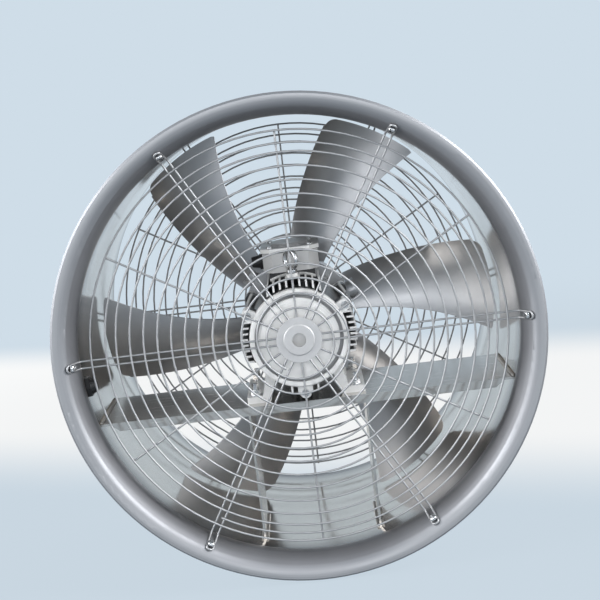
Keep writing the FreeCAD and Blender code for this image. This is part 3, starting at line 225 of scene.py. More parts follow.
def painted(name):
    """Silver paint: its material, tree, surface shader and tone, X, Y and Z, and distance from the axis."""
    material, tree, surface, place = new_finish(name)
    cloud = add(tree, "TexNoise", {"Vector": place, "Scale": 1 / CLOUD, "Detail": 4.0}).outputs["Fac"]
    peel = add(tree, "TexNoise", {"Vector": place, "Scale": 1 / PEEL, "Detail": 2.0}).outputs["Fac"]
    tone = add(tree, "Mix", {"Factor": cloud, FIRST: "#E2E3E4", SECOND: "#EEEFEF"}, data_type="RGBA")
    rough = add(tree, "MapRange", {"Value": cloud, "From Min": 0.3, "From Max": 0.7,
                                   "To Min": 0.3, "To Max": 0.42})
    ridge = add(tree, "Bump", {"Height": peel, "Strength": 0.1, "Distance": 0.0003})
    feed(tree, surface, Base_Color=tone.outputs[MIXED], Roughness=rough.outputs[0], Normal=ridge.outputs[0],
         Metallic=0.05)
    at, radius = from_axis(tree, place)
    return material, tree, surface, tone.outputs[MIXED], at, radius


# Sprayed silver paint gives an almost white satin, a little cloudy, with a fine orange peel.
silver_paint = painted("silver_paint")[0]
dress(silver_paint, "motor_foot_left", "motor_foot_right", "end_shield_rear")

# On the terminal box the same paint is darkened all over to a mid grey, as painted shade.
box_paint, tree, surface, paint_tone = painted("silver_paint_shaded_box")[:4]
tone = add(tree, "Mix", {"Factor": BOX_SHADE_SHARE, FIRST: paint_tone, SECOND: BOX_SHADE_GREY}, data_type="RGBA")
feed(tree, surface, Base_Color=tone.outputs[MIXED])
dress(box_paint, "terminal_box")

# Painted shade darkens the top of the lid and leaves its edge pale.
lid_paint, tree, surface, paint_tone, at = painted("silver_paint_shaded_top")[:5]
shaded_top = add(tree, "MapRange", {"Value": at["Z"], "From Min": LID_EDGE, "From Max": LID_FACE})
tone = add(tree, "Mix", {"Factor": shaded_top.outputs[0], FIRST: paint_tone, SECOND: LID_TOP_SHADE}, data_type="RGBA")
feed(tree, surface, Base_Color=tone.outputs[MIXED])
dress(lid_paint, "terminal_box_lid")

# Painted shade: dark grey between the fins, down their flanks and on the ledge under the box; fin tips and
# corners without fins stay pale.
finned_paint, tree, surface, paint_tone, at, radius = painted("silver_paint_shaded_between_fins")
root = add(tree, "Math", {0: radius, 1: FIN_ROOT}, operation="LESS_THAN")
aside = add(tree, "Math", {0: at["X"]}, operation="ABSOLUTE")
aside = add(tree, "Math", {0: aside.outputs[0], 1: TOP_FINS_X}, operation="GREATER_THAN")
above = add(tree, "Math", {0: at["Z"]}, operation="ABSOLUTE")
above = add(tree, "Math", {0: above.outputs[0], 1: SIDE_FINS_Z}, operation="GREATER_THAN")
corner = add(tree, "Math", {0: aside.outputs[0], 1: above.outputs[0]}, operation="MULTIPLY")
root = add(tree, "Math", {0: corner.outputs[0], 1: -CORNER_UNSHADED, 2: root.outputs[0]},
           operation="MULTIPLY_ADD", use_clamp=True)
flank = add(tree, "MapRange", {"Value": radius, "From Min": FIN_FLANK, "From Max": FIN_TIP,
                               "To Min": 1.0, "To Max": 0.0})
behind = add(tree, "Math", {0: at["Y"], 1: FRAME_END}, operation="GREATER_THAN")
flank = add(tree, "Math", {0: flank.outputs[0], 1: behind.outputs[0]}, operation="MULTIPLY")
past = add(tree, "Math", {0: radius, 1: FIN_PAST}, operation="GREATER_THAN")
under_box = add(tree, "Math", {0: at["Y"], 1: PAD_FROM}, operation="GREATER_THAN")
pad = add(tree, "Math", {0: past.outputs[0], 1: under_box.outputs[0]}, operation="MULTIPLY")
painted_shade = add(tree, "Math", {0: root.outputs[0], 1: flank.outputs[0]}, operation="MAXIMUM")
painted_shade = add(tree, "Math", {0: painted_shade.outputs[0], 1: pad.outputs[0]}, operation="MAXIMUM")
tone = add(tree, "Mix", {"Factor": painted_shade.outputs[0], FIRST: paint_tone, SECOND: FIN_SHADE}, data_type="RGBA")
feed(tree, surface, Base_Color=tone.outputs[MIXED])
dress(finned_paint, "motor_frame")

# Painted shade greys the ring groove in the front end shield, deeper towards its floor.
grooved_paint, tree, surface, paint_tone, at, radius = painted("silver_paint_with_groove")
inner = add(tree, "Math", {0: radius, 1: GROOVE_INNER}, operation="GREATER_THAN")
outer = add(tree, "Math", {0: radius, 1: GROOVE_OUTER}, operation="LESS_THAN")
deep = add(tree, "MapRange", {"Value": at["Y"], "From Min": GROOVE_MOUTH, "From Max": GROOVE_FLOOR})
painted_shade = add(tree, "Math", {0: inner.outputs[0], 1: outer.outputs[0]}, operation="MULTIPLY")
painted_shade = add(tree, "Math", {0: painted_shade.outputs[0], 1: deep.outputs[0]}, operation="MULTIPLY")
tone = add(tree, "Mix", {"Factor": painted_shade.outputs[0], FIRST: paint_tone, SECOND: GROOVE_SHADE}, data_type="RGBA")
feed(tree, surface, Base_Color=tone.outputs[MIXED])
dress(grooved_paint, "end_shield_front")


# Inside the motor: stacked core sheets, winding heads, oil seal and lid gasket.
# The cores are punched from sheet steel and stacked; the heads are wound in copper wire and varnished;
# the seal and the gasket are moulded in black rubber.
CORE_SHEET = 0.00314
COPPER_WIRE = 0.00196
BLOOM = 0.00833
WAVE_LENGTH = math.pi / 10  # of a wave texture at scale 1


def mottled(name, patch, dark, pale, detail=3.0):
    """Finish of two colours in patches of a size: its material, tree, surface shader and pattern."""
    material, tree, surface, place = new_finish(name)
    pattern = add(tree, "TexNoise", {"Vector": place, "Scale": 1 / patch, "Detail": detail}).outputs["Fac"]
    tone = add(tree, "Mix", {"Factor": pattern, FIRST: dark, SECOND: pale}, data_type="RGBA")
    feed(tree, surface, Base_Color=tone.outputs[MIXED])
    return material, tree, surface, pattern


# Stacked sheets give dark and pale stripes square to the axis. Real ones are 0.5 mm thick; these are
# drawn 3 mm thick so that they show.
core_sheets, tree, surface, place = new_finish("stacked_core_sheets")
stack = add(tree, "TexWave", {"Vector": place, "Scale": WAVE_LENGTH / CORE_SHEET}, bands_direction="Y")
tone = add(tree, "Mix", {"Factor": stack.outputs["Fac"], FIRST: "#4A4B4E", SECOND: "#77797C"},
           data_type="RGBA")
feed(tree, surface, Base_Color=tone.outputs[MIXED], Metallic=0.8, Roughness=0.45)
dress(core_sheets, "stator_core", "rotor_core")

# Varnished copper gives glossy brown strands that wander. The wire is drawn 2 mm thick, coarser than the
# real one so that it shows.
copper_winding, tree, surface, place = new_finish("varnished_copper_wire")
strands = add(tree, "TexWave", {"Vector": place, "Scale": WAVE_LENGTH / COPPER_WIRE, "Distortion": 3.0},
              bands_direction="Y").outputs["Fac"]
tone = add(tree, "Mix", {"Factor": strands, FIRST: "#7A3A1A", SECOND: "#B8683A"}, data_type="RGBA")
ridge = add(tree, "Bump", {"Height": strands, "Strength": 0.4, "Distance": 0.0008})
feed(tree, surface, Base_Color=tone.outputs[MIXED], Normal=ridge.outputs[0], Metallic=0.85, Roughness=0.35)
dress(copper_winding, "stator_winding_front", "stator_winding_rear")

# Moulded rubber gives a dull black with a faint grey bloom in patches about 8 mm across.
black_rubber, tree, surface = mottled("black_rubber", BLOOM, "#161617", "#2A2A2B")[:3]
feed(tree, surface, Roughness=0.7)
dress(black_rubber, "shaft_seal", "terminal_box_gasket")


# Fasteners, shaft and bearings: bolts, nuts, washers, the motor's shaft and key, and the bearing rings.
# Steel, turned and ground; all have the fasteners' bright zinc plate here.
# The plate gives a bright grey, a little mottled in patches about 4 mm across.
ZINC_PATCH = 0.004
plated_steel, tree, surface, patches = mottled("zinc_plated_steel", ZINC_PATCH, "#A5A6A8", "#C9CACB")
rough = add(tree, "MapRange", {"Value": patches, "From Min": 0.3, "From Max": 0.7,
                               "To Min": 0.2, "To Max": 0.36})
feed(tree, surface, Roughness=rough.outputs[0], Metallic=1.0)
dress(
    plated_steel, "end_shield_bolts", "bearing_outer_rings", "bearing_inner_rings", "wave_washer",
    "rotor_shaft", "shaft_key", "foot_bolts", "foot_washers", "foot_nuts", "guard_nuts", "hub_bolts",
    "hub_end_washer", "hub_end_screw",
)


# Terminal block and cable glands: the block with its studs in the box, and the two gland bodies.
# Block and glands are moulded in black nylon, and the studs are turned from brass.
# The gland bodies screw into the box and the duct wall, each with a lock nut.
SPARK = 0.00143
TARNISH = 0.005

# Nylon from a spark-eroded mould gives a soft black sheen with grain about 1.4 mm across, coarser than
# the real one so that it shows.
black_nylon, tree, surface, spark = mottled("moulded_black_nylon", SPARK, "#121213", "#242426", detail=2.0)
ridge = add(tree, "Bump", {"Height": spark, "Strength": 0.2, "Distance": 0.0002})
feed(tree, surface, Normal=ridge.outputs[0], Roughness=0.42)
dress(black_nylon, "terminal_block", "terminal_gland_body", "wall_gland_body", "gland_locknuts")

# Turned brass gives a warm yellow metal, tarnished in patches about 5 mm across.
turned_brass, tree, surface = mottled("turned_brass", TARNISH, "#A07F3C", "#C9A75C")[:3]
feed(tree, surface, Metallic=1.0, Roughness=0.3)
dress(turned_brass, "terminal_studs")


# Impeller: hub, clamp ring and six blades held by their stems between the two.
# Gravity-cast aluminium, tumbled; the casting gives an even satin grey with faint mottle
# about 22 mm across and fine pits.
CAST_MOTTLE = 0.0222
CAST_PIT = 0.002
cast_aluminium, tree, surface, place = new_finish("tumbled_cast_aluminium")
mottle = add(tree, "TexNoise", {"Vector": place, "Scale": 1 / CAST_MOTTLE, "Detail": 5.0}).outputs["Fac"]
pits = add(tree, "TexNoise", {"Vector": place, "Scale": 1 / CAST_PIT, "Detail": 2.0}).outputs["Fac"]
tone = add(tree, "Mix", {"Factor": mottle, FIRST: "#98999C", SECOND: "#A6A7AA"}, data_type="RGBA")
rough = add(tree, "MapRange", {"Value": mottle, "From Min": 0.3, "From Max": 0.7,
                               "To Min": 0.34, "To Max": 0.42})
ridge = add(tree, "Bump", {"Height": pits, "Strength": 0.08, "Distance": 0.0003})
feed(tree, surface, Base_Color=tone.outputs[MIXED], Roughness=rough.outputs[0], Normal=ridge.outputs[0],
     Metallic=0.85)
dress(cast_aluminium, "impeller_hub", "hub_clamp_ring", *["blade_%d" % i for i in range(1, 7)])


# Guard spirals: one length of round wire wound outwards from the middle, closer at the edge, inside a ring.
# Drawn bright steel wire, spot-welded to the arms and spokes behind it; the rear guard is the front one
# turned round. The discs that cover the middle of both guards are pressed from plated steel sheet.
WIRE_R = 0.0014
WIRE_SIDES = 10
WIRE_MOTTLE = 0.00556
SPIRAL_Y = -0.190
SPIRAL_INNER_R = 0.044
SPIRAL_START = math.radians(240)
WINDING = ((1, 0.0), (5, 0.0205), (17, 0.0186), (3, 0.0118))  # half turns and their pitch
FIRST_STEPS = 16  # in the innermost half turn; each half turn that follows has one more
EDGE_RING_R = 0.2815
EDGE_RING_STEPS = 96
DISC_MOTTLE = 0.00714

# Drawn wire gives a mid-grey satin that wanders in tone along its length, every 6 mm or so.
drawn_wire, tree, surface, drawn = mottled("drawn_bright_wire", WIRE_MOTTLE, "#8E8F91", "#A6A7A9")
rough = add(tree, "MapRange", {"Value": drawn, "From Min": 0.3, "From Max": 0.7,
                               "To Min": 0.4, "To Max": 0.55})
feed(tree, surface, Roughness=rough.outputs[0], Metallic=0.75)

# Pressed plated sheet gives a flat pale grey with soft mottle about 7 mm across.
pressed_steel, tree, surface, mottle = mottled(
    "pressed_plated_steel", DISC_MOTTLE, "#A4A5A7", "#B6B7B9", detail=4.0,
)
rough = add(tree, "MapRange", {"Value": mottle, "From Min": 0.3, "From Max": 0.7,
                               "To Min": 0.5, "To Max": 0.6})
feed(tree, surface, Roughness=rough.outputs[0], Metallic=0.4)
dress(pressed_steel, "guard_discs")


def around(radius, angle, y=0.0):
    """Point at an angle about the fan's axis, counted from +X towards +Z."""
    return Vector((radius * math.cos(angle), y, radius * math.sin(angle)))


def apply_place():
    """Put the place, turn and scale of the selected piece into its mesh."""
    bpy.ops.object.transform_apply(location=True, rotation=True, scale=True)


def pick(piece):
    """Select one piece alone and make it the active one."""
    bpy.ops.object.select_all(action="DESELECT")
    piece.select_set(True)
    bpy.context.view_layer.objects.active = piece


def start_wire(point, along):
    """Open edit mode on a ring of wire at a point, square to a direction."""
    bpy.ops.object.select_all(action="DESELECT")
    facing = Vector(along).to_track_quat("Z", "Y").to_euler()
    bpy.ops.mesh.primitive_circle_add(vertices=WIRE_SIDES, radius=WIRE_R, location=point, rotation=facing)
    apply_place()
    bpy.ops.object.mode_set(mode="EDIT")
    bpy.ops.mesh.select_all(action="SELECT")


def end_wire():
    """Close the wire's ends, if it has any, and smooth it."""
    bpy.ops.mesh.select_all(action="SELECT")
    bpy.ops.mesh.remove_doubles(threshold=1e-6)
    bpy.ops.mesh.fill_holes(sides=0)
    bpy.ops.mesh.normals_make_consistent(inside=False)
    bpy.ops.object.mode_set(mode="OBJECT")
    bpy.ops.object.shade_smooth_by_angle(angle=math.radians(60))
    return bpy.context.object


def copy_about(piece, axis, angle):
    """Copy of a piece with its own mesh, turned about an axis through the origin."""
    pick(piece)
    bpy.ops.object.duplicate(linked=False)
    copy = bpy.context.object
    copy.matrix_world = Matrix.Rotation(angle, 4, axis)
    apply_place()
    return copy


def merged(pieces):
    """Several pieces made one object."""
    bpy.ops.object.select_all(action="DESELECT")
    for piece in pieces:
        piece.select_set(True)
    bpy.context.view_layer.objects.active = pieces[0]
    bpy.ops.object.join()
    return bpy.context.object


def fit(piece, name, material, slot, *replaced):
    """Name a finished piece, give it its material, and fix it to the housing in place of CAD nodes."""
    piece.name = name
    piece.data.name = name
    piece.data.materials.clear()
    piece.data.materials.append(material)
    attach(piece, "housing")
    if replaced:
        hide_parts(*replaced)


radii = [SPIRAL_INNER_R]
for half_turns, pitch in WINDING:
    for k in range(half_turns):
        radii.append(radii[-1] + pitch / 2)
ends = [around(r * (-1) ** k, SPIRAL_START, SPIRAL_Y) for k, r in enumerate(radii)]
start_wire(ends[0], around(1, SPIRAL_START - math.pi / 2))
for k in range(len(ends) - 1):
    middle = (ends[k] + ends[k + 1]) / 2
    bpy.ops.mesh.spin(steps=FIRST_STEPS + k, angle=math.pi, center=middle, axis=(0, -1, 0))
wound_wire = end_wire()
start_wire((EDGE_RING_R, SPIRAL_Y, 0), (0, 0, 1))
bpy.ops.mesh.spin(steps=EDGE_RING_STEPS, angle=2 * math.pi, center=(0, SPIRAL_Y, 0), axis=(0, -1, 0))
edge_ring = end_wire()
front_spiral = merged([wound_wire, edge_ring])
rear_spiral = copy_about(front_spiral, "Z", math.pi)
fit(front_spiral, "front_spiral_wire", drawn_wire, "guard_wire", "front_guard_spiral")
fit(rear_spiral, "rear_spiral_wire", drawn_wire, "guard_wire", "rear_guard_spiral")


# Guard arms: six hairpins whose legs run out from the disc, bend up the bellmouth and loop round a screw.
# The same drawn wire as the spiral, bent cold and spot-welded behind it.
ARM_Y = -0.187
ARM_INNER_R = 0.022
ARM_HALF = 0.00475
BEND_R = 0.006
BEND_ANGLE = math.radians(60)
BEND_STEPS = 6
LOOP_STEPS = 16
LOOP_PAST_SCREW = 0.0045
WIRE_OFF_WALL = 0.0016
SCREW_PLACE = Vector((0.3081, -0.20323, 0))
uphill = Vector((math.cos(BEND_ANGLE), -math.sin(BEND_ANGLE), 0))
off_wall = Vector((-math.sin(BEND_ANGLE), -math.cos(BEND_ANGLE), 0))
loop_centre = SCREW_PLACE + off_wall * WIRE_OFF_WALL + uphill * LOOP_PAST_SCREW
bend_drop = BEND_R * (1 - math.cos(BEND_ANGLE))
loop_run = (ARM_Y - bend_drop - loop_centre.y) / math.sin(BEND_ANGLE)
bend_start_r = loop_centre.x - loop_run * math.cos(BEND_ANGLE) - BEND_R * math.sin(BEND_ANGLE)
bend_centre = (bend_start_r, ARM_Y - BEND_R, 0)
leg = Vector((bend_start_r - ARM_INNER_R, 0, 0))


def draw_on(run):
    """Carry the open end of the wire straight on."""
    bpy.ops.mesh.extrude_region_move(TRANSFORM_OT_translate={"value": run})


def six_about_axis(first):
    """A piece and five copies of it, evenly about the fan's axis, made one object."""
    return merged([first] + [copy_about(first, "Y", math.radians(60 * k)) for k in range(1, 6)])


start_wire((ARM_INNER_R, ARM_Y, ARM_HALF), (1, 0, 0))
draw_on(leg)
bpy.ops.mesh.spin(steps=BEND_STEPS, angle=BEND_ANGLE, center=bend_centre, axis=(0, 0, 1))
draw_on(uphill * loop_run)
bpy.ops.mesh.spin(steps=LOOP_STEPS, angle=math.pi, center=loop_centre, axis=off_wall)
draw_on(-uphill * loop_run)
bpy.ops.mesh.spin(steps=BEND_STEPS, angle=BEND_ANGLE, center=bend_centre, axis=(0, 0, -1))
draw_on(-leg)
front_arms = six_about_axis(end_wire())
rear_arms = copy_about(front_arms, "Z", math.pi)
fit(front_arms, "front_arm_wires", drawn_wire, "guard_wire", "front_guard_arms")
fit(rear_arms, "rear_arm_wires", drawn_wire, "guard_wire", "rear_guard_arms")


# Guard spokes: six straight wires between the arms, from under the centre disc to the edge ring.
# Cut from the same wire and spot-welded behind the spiral.
SPOKE_LENGTH = 0.2608
SPOKE_ANGLE = math.radians(30)
start_wire(around(ARM_INNER_R, SPOKE_ANGLE, ARM_Y), around(1, SPOKE_ANGLE))
draw_on(around(SPOKE_LENGTH, SPOKE_ANGLE))
front_spokes = six_about_axis(end_wire())
rear_spokes = copy_about(front_spokes, "Z", math.pi)
fit(front_spokes, "front_spoke_wires", drawn_wire, "guard_wire", "front_guard_spokes")
fit(rear_spokes, "rear_spoke_wires", drawn_wire, "guard_wire", "rear_guard_spokes")


# Lifting eye: a forged ring on a round collar, screwed into the top of the motor frame.
# The ring starts as a torus that sinks into the collar; zinc plated like the other fasteners.
EYE_PLACE = (0, -0.136, 0.1026)
EYE_TURN = math.radians(-50)
EYE_R = 0.012
EYE_WIRE = 0.0032
COLLAR_R = 0.008
COLLAR_BASE = 0.084
COLLAR_H = 0.005
COLLAR_EDGE = 0.0008
bpy.ops.object.select_all(action="DESELECT")
bpy.ops.mesh.primitive_torus_add(
    major_segments=48, minor_segments=16, major_radius=EYE_R, minor_radius=EYE_WIRE, location=EYE_PLACE,
    rotation=(math.pi / 2, 0, EYE_TURN),
)
apply_place()
eye_ring = bpy.context.object
bpy.ops.object.select_all(action="DESELECT")
bpy.ops.mesh.primitive_cylinder_add(
    vertices=40, radius=COLLAR_R, depth=COLLAR_H,
    location=(EYE_PLACE[0], EYE_PLACE[1], COLLAR_BASE + COLLAR_H / 2),
)
apply_place()
collar = bpy.context.object
soften = collar.modifiers.new("edge", "BEVEL")
soften.width = COLLAR_EDGE
soften.segments = 3
soften.limit_method = "ANGLE"
bpy.ops.object.modifier_apply(modifier="edge")
lifting_eye = merged([eye_ring, collar])
bpy.ops.object.shade_smooth_by_angle(angle=math.radians(40))
fit(lifting_eye, "forged_lifting_eye", plated_steel, "steel", "lifting_eye")


# Guard screws: twelve domed, slotted screws through the loops of the arms and the bellmouth's wall.
# Turned steel, bright zinc plated; the nuts behind the bellmouth hold them.
HEAD_R = 0.0052
HEAD_H = 0.0036
HEAD_ROUND = 0.0026
HEAD_SIDES = 32
SLOT_WIDTH = 0.0012
SLOT_DEPTH = 0.0016
SLOT_TURN = math.radians(25)
SCREW_R = 0.003
SCREW_SIDES = 20
SCREW_SEAT = 0.0032
SCREW_END = -0.0095


def upright_bar(radius, z0, z1, sides):
    """Round bar along Z on the origin."""
    bpy.ops.object.select_all(action="DESELECT")
    bpy.ops.mesh.primitive_cylinder_add(
        vertices=sides, radius=radius, depth=z1 - z0, location=(0, 0, (z0 + z1) / 2),
    )
    apply_place()
    return bpy.context.object


def cut_away(piece, cutter):
    """Cut one piece out of another and throw the cutter away."""
    pick(piece)
    cut = piece.modifiers.new("cut", "BOOLEAN")
    cut.operation = "DIFFERENCE"
    cut.object = cutter
    bpy.ops.object.modifier_apply(modifier="cut")
    bpy.data.objects.remove(cutter)


def slotted_screw(head_r, head_h, rounding, shank_r, z_seat, z_end):
    """Domed screw along Z: its head's top edge is rounded over and a slot is cut across it."""
    head = upright_bar(head_r, z_seat, z_seat + head_h, HEAD_SIDES)
    bpy.ops.object.mode_set(mode="EDIT")
    bpy.ops.mesh.select_mode(type="EDGE")
    bpy.ops.mesh.select_all(action="DESELECT")
    bpy.ops.object.mode_set(mode="OBJECT")
    for edge in head.data.edges:
        edge.select = all(head.data.vertices[v].co.z > z_seat + head_h / 2 for v in edge.vertices)
    bpy.ops.object.mode_set(mode="EDIT")
    bpy.ops.mesh.bevel(offset=rounding, segments=5, affect="EDGES")
    bpy.ops.object.mode_set(mode="OBJECT")
    bpy.ops.object.select_all(action="DESELECT")
    bpy.ops.mesh.primitive_cube_add(size=1.0, location=(0, 0, z_seat + head_h))
    slot = bpy.context.object
    slot.scale = (4 * head_r, SLOT_WIDTH, 2 * SLOT_DEPTH)
    apply_place()
    cut_away(head, slot)
    screw = merged([head, upright_bar(shank_r, z_end, z_seat, SCREW_SIDES)])
    bpy.ops.object.shade_smooth_by_angle(angle=math.radians(35))
    return screw


def stand_at(piece, place, direction, roll=0.0):
    """Move an upright piece to a place, with its own Z along a direction."""
    pick(piece)
    turn = Vector(direction).to_track_quat("Z", "Y").to_matrix().to_4x4()
    piece.matrix_world = Matrix.Translation(place) @ turn @ Matrix.Rotation(roll, 4, "Z")
    apply_place()
    return piece


first_screw = slotted_screw(HEAD_R, HEAD_H, HEAD_ROUND, SCREW_R, SCREW_SEAT, SCREW_END)
front_screws = six_about_axis(stand_at(first_screw, SCREW_PLACE, off_wall, SLOT_TURN))
guard_screws = merged([front_screws, copy_about(front_screws, "Z", math.pi)])
fit(guard_screws, "slotted_guard_screws", plated_steel, "steel", "guard_screws")


# Lid screws: four slotted screws that draw the terminal box's lid down on its gasket.
# Turned and plated like the guard screws, with flatter heads; each pair was left at its own turn.
LID_TOP = 0.118
LID_HEAD_R = 0.0045
LID_HEAD_H = 0.0025
LID_HEAD_ROUND = 0.0014
LID_SHANK_R = 0.0025
LID_SCREW_END = 0.100
LID_SCREW_X = 0.028
LID_SCREW_Y = (-0.107, -0.039)
LEFT_TURN = math.radians(-16)
RIGHT_TURN = math.radians(96)
lid_screw = slotted_screw(LID_HEAD_R, LID_HEAD_H, LID_HEAD_ROUND, LID_SHANK_R, LID_TOP, LID_SCREW_END)
lid_screws = []
for x, turn in ((-LID_SCREW_X, LEFT_TURN), (LID_SCREW_X, RIGHT_TURN)):
    for y in LID_SCREW_Y:
        lid_screws.append(stand_at(copy_about(lid_screw, "Z", turn), (x, y, 0), (0, 0, 1)))
bpy.data.objects.remove(lid_screw)
fit(merged(lid_screws), "slotted_lid_screws", plated_steel, "steel", "terminal_box_lid_screws")


# Gland caps: ribbed caps that tighten each cable gland, one on the box and one in the duct.
# Moulded in the same black nylon as their bodies, with the ribs as grip.
CAP_SIDES = 40
RIB = 0.0005
CAP_SEAT = 0.005
CAP_FOOT_RATIO = 1.15
CAP_TIP_RATIO = 0.85
SEAL_RATIO = 0.5
DRILL_PAST = 0.001
DRILL_SIDES = 32
END_FACE = 0.9  # a face whose normal has more Z than this is an end of the cap
BOX_THREAD_R = 0.008
BOX_CAP_LENGTH = 0.011
BOX_GLAND_PLACE = (-0.039, -0.088, 0.099)
WALL_THREAD_R = 0.010
WALL_CAP_LENGTH = 0.008
WALL_GLAND_R = 0.29962
WALL_GLAND_ANGLE = math.radians(187)
WALL_GLAND_Y = -0.158


def gland_cap(thread_r, length, place, direction):
    """Tapered cap with grip ribs and a hole for the cable."""
    bpy.ops.object.select_all(action="DESELECT")
    bpy.ops.mesh.primitive_cone_add(
        vertices=CAP_SIDES, radius1=thread_r * CAP_FOOT_RATIO - RIB, radius2=thread_r * CAP_TIP_RATIO,
        depth=length, location=(0, 0, CAP_SEAT + length / 2),
    )
    apply_place()
    cap = bpy.context.object
    bpy.ops.object.mode_set(mode="EDIT")
    bpy.ops.mesh.select_mode(type="FACE")
    bpy.ops.mesh.select_all(action="DESELECT")
    bpy.ops.object.mode_set(mode="OBJECT")
    for face in cap.data.polygons:
        side = math.floor(math.atan2(face.center.y, face.center.x) / (2 * math.pi) * CAP_SIDES)
        face.select = abs(face.normal.z) < END_FACE and side % 2 == 0
    bpy.ops.object.mode_set(mode="EDIT")
    bpy.ops.mesh.extrude_faces_move(TRANSFORM_OT_shrink_fatten={"value": RIB})
    bpy.ops.object.mode_set(mode="OBJECT")
    hole_from, hole_to = CAP_SEAT - DRILL_PAST, CAP_SEAT + length + DRILL_PAST
    cut_away(cap, upright_bar(thread_r * SEAL_RATIO, hole_from, hole_to, DRILL_SIDES))
    bpy.ops.object.shade_smooth_by_angle(angle=math.radians(20))
    return stand_at(cap, place, direction)


box_cap = gland_cap(BOX_THREAD_R, BOX_CAP_LENGTH, BOX_GLAND_PLACE, (-1, 0, 0))
fit(box_cap, "ribbed_box_cap", black_nylon, "black_plastic", "terminal_gland_cap")
wall_gland_place = around(WALL_GLAND_R, WALL_GLAND_ANGLE, WALL_GLAND_Y)
wall_cap = gland_cap(WALL_THREAD_R, WALL_CAP_LENGTH, wall_gland_place, around(-1, WALL_GLAND_ANGLE))
fit(wall_cap, "ribbed_wall_cap", black_nylon, "black_plastic", "wall_gland_cap")


# Weld beads: where the bridge plate and the struts meet the duct, and the casing's own long seam outside.
# Stainless filler laid in overlapping pools about 3 mm apart.
# Each seam is given by its first pool on the right-hand side, and its length.
POOL_PITCH = 0.003
POOL_HALF = 0.0024
PLATE_SEAM = ((0.2849, -0.164, -0.0888), 0.152)
STRUT_SEAM_OUT = ((0.0850, -0.146, -0.2868), 0.116)
STRUT_SEAM_IN = ((0.0790, -0.146, -0.2886), 0.116)
FILLET_HALF_WIDTH = 0.0024
FILLET_HALF_HEIGHT = 0.0022
CASING_SEAM_ANGLE = 0.0
CASING_SEAM_R = 0.3019
CASING_SEAM_HALF = 0.170
CASING_BEAD_HALF_WIDTH = 0.0032
CASING_BEAD_HALF_HEIGHT = 0.0009
HEAT_PATCH = 0.00455

# Weld metal gives a shiny, slightly brown grey, blotched by the heat in patches about 5 mm across.
weld, tree, surface, patches = mottled("heat_tinted_weld", HEAT_PATCH, "#8B8885", "#ACA9A5")
rough = add(tree, "MapRange", {"Value": patches, "To Min": 0.25, "To Max": 0.5})
feed(tree, surface, Roughness=rough.outputs[0], Metallic=0.9)


def weld_run(start, length, half_width, half_height, tilt=0.0):
    """Row of overlapping weld pools along Y, from one squashed ball repeated."""
    bpy.ops.object.select_all(action="DESELECT")
    bpy.ops.mesh.primitive_uv_sphere_add(segments=8, ring_count=6, radius=1.0)
    bpy.ops.object.mode_set(mode="EDIT")
    bpy.ops.mesh.select_all(action="SELECT")
    bpy.ops.transform.resize(value=(half_width, POOL_HALF, half_height))
    bpy.ops.object.mode_set(mode="OBJECT")
    run = bpy.context.object
    run.rotation_euler = (0, tilt, 0)
    apply_place()
    pools = run.modifiers.new("pools", "ARRAY")
    pools.use_relative_offset = False
    pools.use_constant_offset = True
    pools.constant_offset_displace = (0, POOL_PITCH, 0)
    pools.count = int(length / POOL_PITCH)
    bpy.ops.object.modifier_apply(modifier="pools")
    run.location = start
    apply_place()
    bpy.ops.object.shade_smooth()
    return run


runs = []
for (x, y, z), length in (PLATE_SEAM, STRUT_SEAM_OUT, STRUT_SEAM_IN):
    for side in (-1, 1):
        runs.append(weld_run((side * x, y, z), length, FILLET_HALF_WIDTH, FILLET_HALF_HEIGHT))
seam_start = around(CASING_SEAM_R, CASING_SEAM_ANGLE, -CASING_SEAM_HALF)
seam_tilt = math.pi / 2 - CASING_SEAM_ANGLE
runs.append(weld_run(seam_start, 2 * CASING_SEAM_HALF, CASING_BEAD_HALF_WIDTH, CASING_BEAD_HALF_HEIGHT,
                     seam_tilt))
fit(merged(runs), "weld_beads", weld, "stainless_plate")


# Floor and backdrop: a pale blue-grey studio, with a painted pool of light, a white band, across the floor
# behind the fan.
# Matt painted board; it shows its own pale colour to the eye and in the metal, so that it needs no more
# light, and keeps a faint shadow near the fan.
BACKDROP = "#CFDDE8"
LIGHT_BAND = "#FCFDFD"
BAND_LEAN = math.radians(24)
BAND_NEAR_FROM, BAND_NEAR_FULL = 0.1, 0.55
BAND_FAR_FULL, BAND_FAR_END = 1.1, 1.5
FLOOR_GREY = "#6C7176"
FLOOR_SIZE = 24.0
FLOOR_GAP = 0.002
FLOOR_GLOW = 0.89
SHADE_FROM, SHADE_END = 1.0, 2.4
FILL_GREY = "#545454"


def shown(tree):
    """1 for rays from the camera, off a gloss or through glass, and 0 for the rays that only bring light."""
    ray = add(tree, "LightPath").outputs
    seen = add(tree, "Math", {0: ray["Is Camera Ray"], 1: ray["Is Glossy Ray"]}, operation="MAXIMUM")
    seen = add(tree, "Math", {0: seen.outputs[0], 1: ray["Is Transmission Ray"]}, operation="MAXIMUM")
    return seen.outputs[0]


